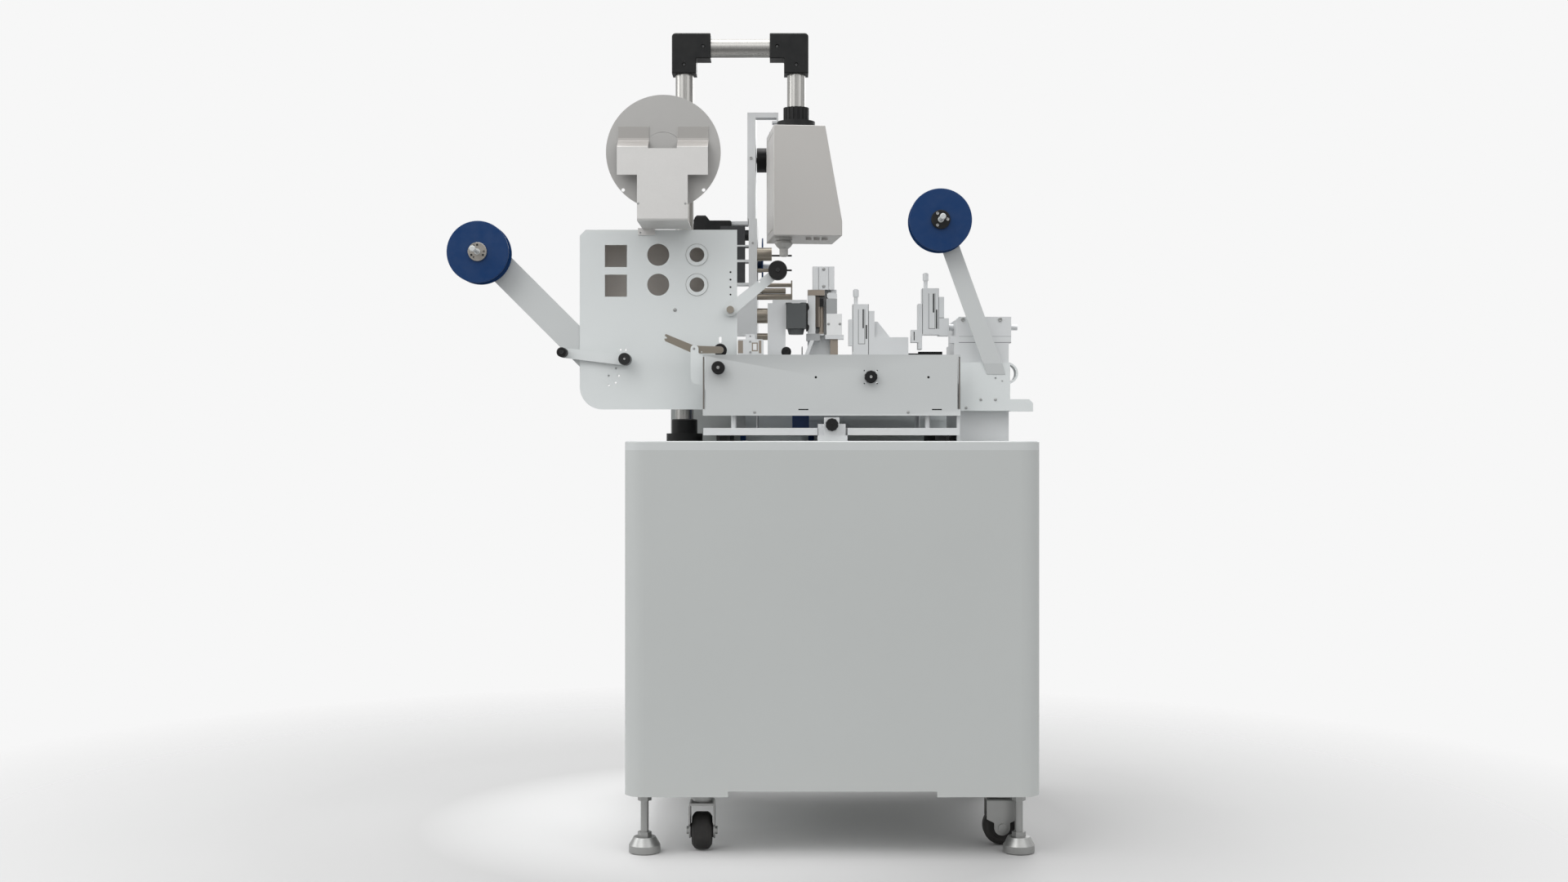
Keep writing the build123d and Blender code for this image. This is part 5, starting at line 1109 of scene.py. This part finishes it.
PROFILES = {"button": button_profile, "cap": cap_screw_profile}
HUB_SCREWS = 3
HUB_RING = 13.5


def set_screws(rows, slot_name="zinc_steel"):
    """Screws from rows of name, kind, thread, place on the drawing and body."""
    for name, kind, thread, x, depth, height, body in rows:
        data = turned_mesh(name, PROFILES[kind](thread * MM))
        set_down(name, data, (x, depth, height), body, slot_name)


def set_hub_screws(side, middle, start, thread, slot_name):
    """Cap screws on a ring around the middle of a reel's hub, the first at the angle `start`."""
    x, depth, height = middle
    for index in range(HUB_SCREWS):
        angle = start + index * 2 * math.pi / HUB_SCREWS
        spot = (x + HUB_RING * math.cos(angle), depth, height + HUB_RING * math.sin(angle))
        name = side + "_hub_screw_" + str(index + 1)
        data = turned_mesh(name, cap_screw_profile(thread * MM))
        set_down(name, data, spot, side + "_reel_spool", slot_name)


set_screws(SCREWS)
set_hub_screws("right", (217.0, 55.0, 441.0), 0.0, 3.5, "zinc_steel")
print("bright screws set:", len(SCREWS) + HUB_SCREWS)

# %% [markdown]
# ### Dark screws
# The elbows of the arm are clamped on their tubes with dark cap screws.
# The panel and the cover have small threaded holes with blackened screws sunk in them.
# Each sits inside its hole with a little room around it, so it shows as a dark dot from the front.

# %% Set the dark screws
ELBOW_FACE = 248.5
ELBOW_SCREWS = (
    ("left_elbow_screw_across", "cap", 3.2, -264.5, ELBOW_FACE, 826.5, "machine"),
    ("left_elbow_screw_down", "cap", 3.2, -304.5, ELBOW_FACE, 788.0, "machine"),
    ("right_elbow_screw_across", "cap", 3.2, -109.6, ELBOW_FACE, 826.5, "machine"),
    ("right_elbow_screw_down", "cap", 3.2, -69.6, ELBOW_FACE, 788.0, "machine"),
)
COVER_FACE = 60.0
PANEL_FACE = 150.0
PANEL_SCREW_X, PANEL_SCREW_Z, PANEL_SCREW_STEP = -204.4, 298.8, 15.3
KNOB_X, KNOB_Z, KNOB_SCREW_STEP = 77.6, 127.5, 12.9
KNOB_CORNERS = ((1, 1), (-1, 1), (1, -1), (-1, -1))
SUNK = 0.5
SUNK_TALL = 1.0


def sunk_profile(radius):
    """Flat head of a sunk screw of that radius, with a small socket, in metres."""
    tall = SUNK_TALL * MM
    return (
        (radius, 0.0, 0.0),
        (radius, tall * 0.7, 0.0),
        (radius * 0.85, tall, 0.0),
        (radius * 0.5, tall, 0.6),
        (radius * 0.45, tall * 0.4, 1.0),
    )


set_screws(ELBOW_SCREWS, "dark_metal")
sunk_screws = [
    ("cover_hole_screw_left", -31.8, COVER_FACE, 127.0, 2.4),
    ("cover_hole_screw_right", 192.6, COVER_FACE, 127.0, 2.4),
]
for index in range(4):
    height = PANEL_SCREW_Z + PANEL_SCREW_STEP * index
    sunk_screws.append(("panel_set_screw_" + str(index + 1), PANEL_SCREW_X, PANEL_FACE, height, 1.9))
for index, (side, over) in enumerate(KNOB_CORNERS):
    x = KNOB_X + side * KNOB_SCREW_STEP
    height = KNOB_Z + over * KNOB_SCREW_STEP
    sunk_screws.append(("knob_plate_screw_" + str(index + 1), x, COVER_FACE - SUNK, height, 1.5))
for name, x, face, height, radius in sunk_screws:
    data = turned_mesh(name, sunk_profile(radius * MM))
    set_down(name, data, (x, face + SUNK_TALL + SUNK, height), "machine", "black_plastic")
print("dark screws set:", len(ELBOW_SCREWS) + len(sunk_screws))

# %% [markdown]
# ### Hub and pivot screws
# The left reel's hub is closed with three small dark screws, on the same ring as those of the right one.
# A button screw holds each pivot, that of the tension arm and that of the forked lever.

# %% Hub and pivot screws
PIVOT_SCREWS = (
    ("tension_pivot_screw", "button", 2.6, -417.3, 108.0, 165.6, "tension_swing"),
    ("lever_pivot_screw", "button", 2.6, -276.0, 90.0, 185.7, "machine"),
)
set_hub_screws("left", (-711.5, 90.0, 380.5), math.pi / 2, 2.4, "black_plastic")
set_screws(PIVOT_SCREWS)
print("hub and pivot screws set:", HUB_SCREWS + len(PIVOT_SCREWS))

# %% [markdown]
# ### Collars on the roller pins and knobs
# A roller is kept on its pin by a small turned collar, and a knob is clamped by a screw in its middle.
# Both look like a bright ring with a dark hole, so one ring profile serves them all.

# %% Set the collars
COLLAR_TALL = 1.2
RIM = 0.3
COLLARS = (
    ("guide_pin_cup", (-90.6, 110.0, 180.5), "machine", 6.2, 3.6, "black_plastic"),
    ("cover_pin_ring", (-225.8, 34.0, 145.3), "machine", 2.8, 2.1, "zinc_steel"),
    ("cover_knob_ring", (KNOB_X, 45.5, KNOB_Z), "cover_dial", 2.8, 2.1, "zinc_steel"),
    ("slide_knob_ring", (0.0, 38.0, 32.4), "slide_dial", 2.6, 1.7, "black_plastic"),
)


def collar_profile(outer, inner, tall):
    """A chamfered ring with a blind hole, in metres."""
    edge = tall * RIM
    return (
        (outer, 0.0),
        (outer, tall - edge),
        (outer - edge, tall),
        (inner + edge, tall),
        (inner, tall - edge),
        (inner, tall * 0.2),
    )


for name, spot, body, outer, inner, slot_name in COLLARS:
    data = turned_mesh(name, collar_profile(outer * MM, inner * MM, COLLAR_TALL * MM))
    set_down(name, data, spot, body, slot_name)
print("collars set:", len(COLLARS))

# %% [markdown]
# ### Bezel rings
# The two small cut-outs have a thin raised ring around them, as a turned bezel has.
# It is an open ring, so its profile runs around a loop and closes on itself.

# %% Set the bezel rings
BEZEL_OUTER = 23.0
BEZEL_INNER = 22.1
BEZEL_TALL = 1.1
BEZEL_X = -272.9
BEZEL_HEIGHTS = (380.0, 319.0)


def open_ring_mesh(name, outer, inner, tall):
    """A flat ring with chamfered rims, in metres."""
    edge = tall * RIM
    rims = (
        (inner, 0.0),
        (outer, 0.0),
        (outer, tall - edge),
        (outer - edge, tall),
        (inner + edge, tall),
        (inner, tall - edge),
    )
    mesh = bmesh.new()
    loops = [ring(mesh, radius, height) for radius, height in rims]
    for lower, upper in zip(loops, loops[1:] + loops[:1]):
        bridge(mesh, lower, upper)
    return finished_mesh(mesh, name, SHARP_TURNED)


for index, height in enumerate(BEZEL_HEIGHTS):
    name = "cutout_bezel_" + str(index + 1)
    data = open_ring_mesh(name, BEZEL_OUTER * MM, BEZEL_INNER * MM, BEZEL_TALL * MM)
    set_down(name, data, (BEZEL_X, PANEL_FACE, height), "machine", "zinc_steel")
print("bezel rings set:", len(BEZEL_HEIGHTS))

# %% [markdown]
# ### Outlines given thickness
# Sheets, strips and blocks are cut to an outline, and their edges are broken with a small bevel.
# One function gives a flat outline its thickness, and two others call it for the front and the top view.

# %% Outline builder
SHARP_CUT = math.radians(40)


def thick_outline(name, points, along, bevel):
    """A flat outline of points given the thickness `along`, with softened edges."""
    mesh = bmesh.new()
    face = mesh.faces.new([mesh.verts.new(point) for point in points])
    moved = bmesh.ops.extrude_face_region(mesh, geom=[face])
    new_verts = [part for part in moved["geom"] if isinstance(part, bmesh.types.BMVert)]
    bmesh.ops.translate(mesh, verts=new_verts, vec=along)
    softened = {"geom": mesh.edges[:], "offset": bevel * MM, "segments": 2}
    bmesh.ops.bevel(mesh, affect="EDGES", clamp_overlap=True, **softened)
    return finished_mesh(mesh, name, SHARP_CUT)


def extruded_outline(name, outline, depth0, depth1, bevel):
    """An outline of (across, up) drawing sizes given depth."""
    points = [place(x, depth0, z) for x, z in outline]
    return thick_outline(name, points, (0.0, (depth1 - depth0) * MM, 0.0), bevel)


def raised_outline(name, outline, z0, z1, bevel):
    """An outline of (across, depth) drawing sizes raised from z0 to z1."""
    points = [place(x, depth, z0) for x, depth in outline]
    return thick_outline(name, points, (0.0, 0.0, (z1 - z0) * MM), bevel)


def clipped(x0, x1, z0, z1, corner):
    """A rectangle of the drawing with its four corners cut off."""
    return (
        (x0 + corner, z0),
        (x1 - corner, z0),
        (x1, z0 + corner),
        (x1, z1 - corner),
        (x1 - corner, z1),
        (x0 + corner, z1),
        (x0, z1 - corner),
        (x0, z0 + corner),
    )


print("outline builder ready")

# %% [markdown]
# ### Plates and the gear motor's cover
# Painted sheets close the back of the deck, and black strips in the two slots of the front cover paint the
# shade inside them.
# The feeder base stands on two blue feet, and a small clip sits on the guard.
# The gear motor wears a black moulded cap, drawn by its own outline.

# %% Set the plates
GEAR_COVER = (
    (-295.8, 467.0),
    (-295.8, 489.0),
    (-291.0, 497.0),
    (-266.0, 497.0),
    (-260.0, 488.5),
    (-214.5, 488.5),
    (-211.5, 486.0),
    (-211.5, 467.0),
)
PLATES = (
    # Black strips in the cover's two slots, as painted shade.
    ("cover_slot_shade_left", (-69.0, -44.0, 59.0, 66.5, 1.0), 62.4, 63.6, 0.2, "black_plastic"),
    ("cover_slot_shade_right", (197.0, 222.0, 59.0, 66.5, 1.0), 62.4, 63.6, 0.2, "black_plastic"),
    ("deck_back_sheet", (-58.0, 262.0, 0.2, 72.0, 5.0), 385.0, 387.0, 0.4, "sheet_paint"),
    ("deck_back_fold", (-54.0, 258.0, 44.0, 47.0, 1.0), 380.0, 385.0, 0.4, "sheet_paint"),
    ("deck_back_lap", (-188.0, -40.0, 0.2, 72.0, 5.0), 396.5, 398.5, 0.4, "sheet_paint"),
    ("blue_foot_left", (-208.0, -178.0, 0.2, 13.0, 1.5), 386.0, 396.0, 0.6, "blue_paint"),
    ("blue_foot_right", (-42.4, -30.4, 0.2, 13.0, 1.5), 374.0, 384.0, 0.6, "blue_paint"),
)
GUARD_CLIP = (137.9, 146.3, 172.0, 192.5, 1.6)

gear_cover_data = extruded_outline("gear_motor_cover", GEAR_COVER, 468.5, 478.5, 0.8)
stand("gear_motor_cover", gear_cover_data, "machine", "black_plastic")
for name, sizes, depth0, depth1, bevel, slot_name in PLATES:
    data = extruded_outline(name, clipped(*sizes), depth0, depth1, bevel)
    stand(name, data, "machine", slot_name)
clip_data = extruded_outline("guard_clip", clipped(*GUARD_CLIP), 242.0, 245.8, 0.4)
stand("guard_clip", clip_data, "machine", "sheet_paint", finish=cover_paint)
print("plates set:", len(PLATES) + 1, "and one cover")

# %% [markdown]
# ### Connector strip
# Beside the drive motor a black connector strip stands out in two lobes.
# Its outline is a straight back and a wavy front, which is a product of two sines.

# %% Set the connector strip
STRIP_LEFT = -49.8
STRIP_RIGHT = -46.0
STRIP_LOW = 226.0
STRIP_TOP = 284.0
STRIP_STEPS = 48
LOBE_OUT = 3.4
LOBE_FULLNESS = 0.6
strip_outline = [(STRIP_LEFT, STRIP_LOW)]
for step in range(STRIP_STEPS + 1):
    share = step / STRIP_STEPS
    wave = math.sin(share * 4 * math.pi) * math.sin(share * math.pi * 2.0)
    lobe = max(0.0, wave) ** LOBE_FULLNESS
    strip_outline.append((STRIP_RIGHT + LOBE_OUT * lobe, STRIP_LOW + share * (STRIP_TOP - STRIP_LOW)))
strip_outline.append((STRIP_LEFT, STRIP_TOP))
strip_data = extruded_outline("motor_connector", strip_outline, 184.0, 196.0, 0.5)
stand("motor_connector", strip_data, "machine", "black_plastic")
print("connector strip drawn with", len(strip_outline), "points")

# %% [markdown]
# ### Guide needle
# In front of the drive motor a thin guide needle rises from a round foot on the deck.
# It is turned in one profile of radius and height, in millimetres, and stands upright.

# %% Set the guide needle
UP = (0, 0, 1)
NEEDLE_STEPS = ((5.0, 0.0), (5.0, 3.0), (4.0, 4.0), (1.6, 6.0), (1.1, 8.0), (1.1, 76.0), (0.6, 79.0))
needle_profile = [(radius * MM, height * MM) for radius, height in NEEDLE_STEPS]
needle_data = turned_mesh("guide_needle", needle_profile)
set_down("guide_needle", needle_data, (-58.1, 170.0, 115.0), "machine", "dark_metal", toward=UP)
print("guide needle steps:", len(NEEDLE_STEPS))

# %% [markdown]
# ### Press housing
# The press cylinder is a block with two grooves down its front.
# A brown clamp holds it on a narrower back plate.
# It is drawn from above and raised, with a channel at the back in which the press rod runs.
# It stands for the press frame of the solid model, whose back plate is plainer and wider.

# %% Build the press housing
CYLINDER_FRONT = 200.0
CYLINDER_BACK = 234.9
GROOVE_END = CYLINDER_FRONT + 3.0
CHANNEL_END = 213.0
CYLINDER_TOP_VIEW = (
    (-36.0, CYLINDER_FRONT),
    (-24.6, CYLINDER_FRONT),
    (-24.6, GROOVE_END),
    (-22.6, GROOVE_END),
    (-22.6, CYLINDER_FRONT),
    (-4.0, CYLINDER_FRONT),
    (-4.0, GROOVE_END),
    (-2.0, GROOVE_END),
    (-2.0, CYLINDER_FRONT),
    (9.0, CYLINDER_FRONT),
    (9.0, CYLINDER_BACK),
    (7.9, CYLINDER_BACK),
    (7.9, CHANNEL_END),
    (-0.9, CHANNEL_END),
    (-0.9, CYLINDER_BACK),
    (-36.0, CYLINDER_BACK),
)
CLAMP_TOP_VIEW = (
    (-45.7, CYLINDER_FRONT),
    (-11.0, CYLINDER_FRONT),
    (-11.0, CYLINDER_BACK),
    (-45.7, CYLINDER_BACK),
)
BACK_PLATE_FRONT = ((-46.0, 115.0), (14.6, 115.0), (14.6, 316.0), (-46.0, 316.0))
HOUSING_SCREWS = (
    ("press_housing_screw_top", "button", 3.6, -13.1, CYLINDER_FRONT, 355.4, "machine"),
    ("press_housing_screw_low", "button", 3.6, -13.1, CYLINDER_FRONT, 319.9, "machine"),
)


def joined(name, parts):
    """One mesh from several, which are used up."""
    mesh = bmesh.new()
    for part in parts:
        mesh.from_mesh(part)
        bpy.data.meshes.remove(part)
    data = bpy.data.meshes.new(name)
    mesh.to_mesh(data)
    mesh.free()
    data.shade_smooth()
    data.set_sharp_from_angle(angle=SHARP_CUT)
    return data


housing_parts = (
    raised_outline("press_cylinder", CYLINDER_TOP_VIEW, 312.7, 361.0, 0.4),
    raised_outline("press_clamp", CLAMP_TOP_VIEW, 300.8, 312.5, 0.5),
    extruded_outline("press_back_plate", BACK_PLATE_FRONT, 235.0, 245.0, 0.6),
)
housing_data = joined("press_housing", housing_parts)
housing = stand("press_housing", housing_data, "machine", "machined_aluminium", finish=press_frame_finish)
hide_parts("press_frame")
set_screws(HOUSING_SCREWS)
print("press housing built with", len(housing.data.polygons), "faces")

# %% [markdown]
# ## Studio
# The machine stands on a pale floor that runs out into a pale background.
# The floor is painted lightest under the machine, a painted light that softens the shadow there, and painted
# a little darker away from it as a painted light falloff.

# %% Floor
FLOOR_HALF = 9.0
FLOOR_FADE_START = 1.0
FLOOR_FADE_END = 2.2
# Painted light: a darker tone away from the machine and a light one under it.
FLOOR_FALLOFF_TONE = screen_colour(180, 180, 180)
FLOOR_UNDER_LIGHT_TONE = screen_colour(245, 245, 245)
FLOOR_NEAR = 0.1
FLOOR_FAR = 0.7
FLOOR_ROUGHNESS = 0.9

floor_data = bpy.data.meshes.new("floor")
floor_mesh = bmesh.new()
bmesh.ops.create_grid(floor_mesh, x_segments=2, y_segments=2, size=FLOOR_HALF)
floor_mesh.to_mesh(floor_data)
floor_mesh.free()
floor = bpy.data.objects.new("floor", floor_data)
bpy.context.scene.collection.objects.link(floor)
floor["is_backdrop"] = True


def floor_finish():
    """A faintly clouded floor with painted light, lightest under the machine, that fades out where the
    background takes over.
    """
    made, tree, shader = start_finish("floor")
    shader.inputs["Roughness"].default_value = FLOOR_ROUGHNESS
    where = own_place(tree)
    clouds = spread(tree, noise(tree, where, scale=1.5), low=0.3, high=0.7, new_low=0.985)
    reach = make_node(tree, "ShaderNodeVectorMath", operation="LENGTH")
    wire(tree, where, reach.inputs[0])
    away = reach.outputs["Value"]
    light_falloff = spread(tree, away, low=FLOOR_NEAR, high=FLOOR_FAR)
    painted_light_floor = mix_colour(tree, light_falloff, FLOOR_UNDER_LIGHT_TONE, FLOOR_FALLOFF_TONE)
    wire(tree, shaded(tree, painted_light_floor, clouds), shader.inputs["Base Color"])
    shown = spread(tree, away, low=FLOOR_FADE_START, high=FLOOR_FADE_END, new_low=1.0, new_high=0.0)
    wire(tree, shown, shader.inputs["Alpha"])
    return made


floor.data.materials.append(floor_finish())
print("floor laid, half side in metres:", FLOOR_HALF)

# %% [markdown]
# ### Background
# The camera sees an even pale background, as behind a product on paper.
# The machine itself mirrors a room of bright and dim upright panels, darker towards the ground.
# So the tubes and turned parts get long highlights, which one flat colour would not give.

# %% Background
BACKGROUND_TONE = screen_colour(247, 247, 247)
ROOM_STRENGTH = 0.78
ROOM_PANELS = 9.0
ROOM_CONTRAST = 0.3
PANEL_EDGE = 0.4
HORIZON = 0.3
GROUND_LEVEL = 0.45
SKY_LEVEL = 1.15

world = bpy.data.worlds.new("studio")
bpy.context.scene.world = world
world.use_nodes = True
sky = world.node_tree
for old in list(sky.nodes):
    sky.nodes.remove(old)
seen = make_node(sky, "ShaderNodeBackground")
seen.inputs["Color"].default_value = BACKGROUND_TONE
seen.inputs["Strength"].default_value = 1.0
room = make_node(sky, "ShaderNodeBackground")
room.inputs["Color"].default_value = (1.0, 1.0, 1.0, 1.0)
compass = make_node(sky, "ShaderNodeSeparateXYZ")
wire(sky, make_node(sky, "ShaderNodeTexCoord").outputs["Generated"], compass.inputs[0])
around = math_node(sky, "ARCTAN2", compass.outputs["Y"], compass.outputs["X"])
turned = math_node(sky, "ADD", math_node(sky, "MULTIPLY", around, ROOM_PANELS), math.pi / 2)
wave = math_node(sky, "SINE", turned)
dim, bright = 1.0 - ROOM_CONTRAST, 1.0 + ROOM_CONTRAST
panels = spread(sky, wave, low=-PANEL_EDGE, high=PANEL_EDGE, new_low=dim, new_high=bright)
rise = compass.outputs["Z"]
level = spread(sky, rise, low=-HORIZON, high=HORIZON, new_low=GROUND_LEVEL, new_high=SKY_LEVEL)
strength = math_node(sky, "MULTIPLY", math_node(sky, "MULTIPLY", panels, level), ROOM_STRENGTH)
wire(sky, strength, room.inputs["Strength"])
choose = make_node(sky, "ShaderNodeMixShader")
rays = make_node(sky, "ShaderNodeLightPath")
world_out = make_node(sky, "ShaderNodeOutputWorld")
wire(sky, rays.outputs["Is Camera Ray"], choose.inputs[0])
wire(sky, room.outputs[0], choose.inputs[1])
wire(sky, seen.outputs[0], choose.inputs[2])
wire(sky, choose.outputs[0], world_out.inputs[0])
print("background nodes:", len(sky.nodes))

# %% [markdown]
# ### Lamps
# Wide soft lamps from above and from the sides leave a faint shadow under the cabinet.
# Each row gives a lamp its place, the height on the machine it points at, its size and its power.

# %% Lamps
LAMPS = (
    ("front_left_lamp", (-2.0, -2.7, 3.3), 1.2, (2.6, 2.6), 36.0),
    ("front_right_lamp", (2.6, -2.6, 3.0), 1.2, (2.6, 2.6), 18.0),
    ("front_high_lamp", (0.0, -2.0, 3.4), 1.5, (3.0, 1.6), 16.0),
    ("left_lamp", (-4.2, -0.6, 2.2), 0.9, (2.0, 2.0), 36.0),
    ("overhead_lamp", (0.0, 0.4, 4.0), 0.8, (3.0, 2.4), 70.0),
    ("back_lamp", (1.5, 3.6, 2.6), 1.0, (2.4, 1.6), 40.0),
)
for name, where, aim, size, power in LAMPS:
    data = bpy.data.lights.new(name, "AREA")
    data.shape = "RECTANGLE"
    data.size, data.size_y = size
    data.energy = power
    lamp = bpy.data.objects.new(name, data)
    lamp.location = where
    lamp.rotation_euler = (Vector((0.0, 0.0, aim)) - Vector(where)).to_track_quat("-Z", "Y").to_euler()
    bpy.context.scene.collection.objects.link(lamp)
print("lamps:", len(LAMPS))

# %% [markdown]
# ### Camera
# The camera stands level with the worktop, 3.6 metres in front of the cabinet and a little to the left.
# Its lens follows from the picture's focal length in pixels, its width and the width of the sensor.

# %% Camera
PHOTO_WIDTH = 1920.0
SENSOR_MM = 36.0
FOCAL_PX = 2250.0
CAMERA_BACK = 3.6
CAMERA_X_MM = -95.2
LEVEL = math.radians(90)

camera_data = bpy.data.cameras.new("camera")
camera_data.sensor_width = SENSOR_MM
camera_data.lens = FOCAL_PX * SENSOR_MM / PHOTO_WIDTH
camera = bpy.data.objects.new("camera", camera_data)
camera.location = (CENTRE_X + CAMERA_X_MM * MM, FRONT_Y - CAMERA_BACK, TABLE_Z)
camera.rotation_euler = (LEVEL, 0.0, 0.0)
bpy.context.scene.collection.objects.link(camera)
bpy.context.scene.camera = camera
bpy.context.scene.view_settings.view_transform = "Standard"
print("camera lens in mm:", round(camera_data.lens, 2))

# %% [markdown]
# ## Sizes
# The box around the solid model and the box around the finished one should be the same.
# Both are gathered side by side in one table.

# %% Gather the sizes
visual_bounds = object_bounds()
sizes = {
    "cad": [list(corner) for corner in cad_bounds],
    "visual": [list(corner) for corner in visual_bounds],
}
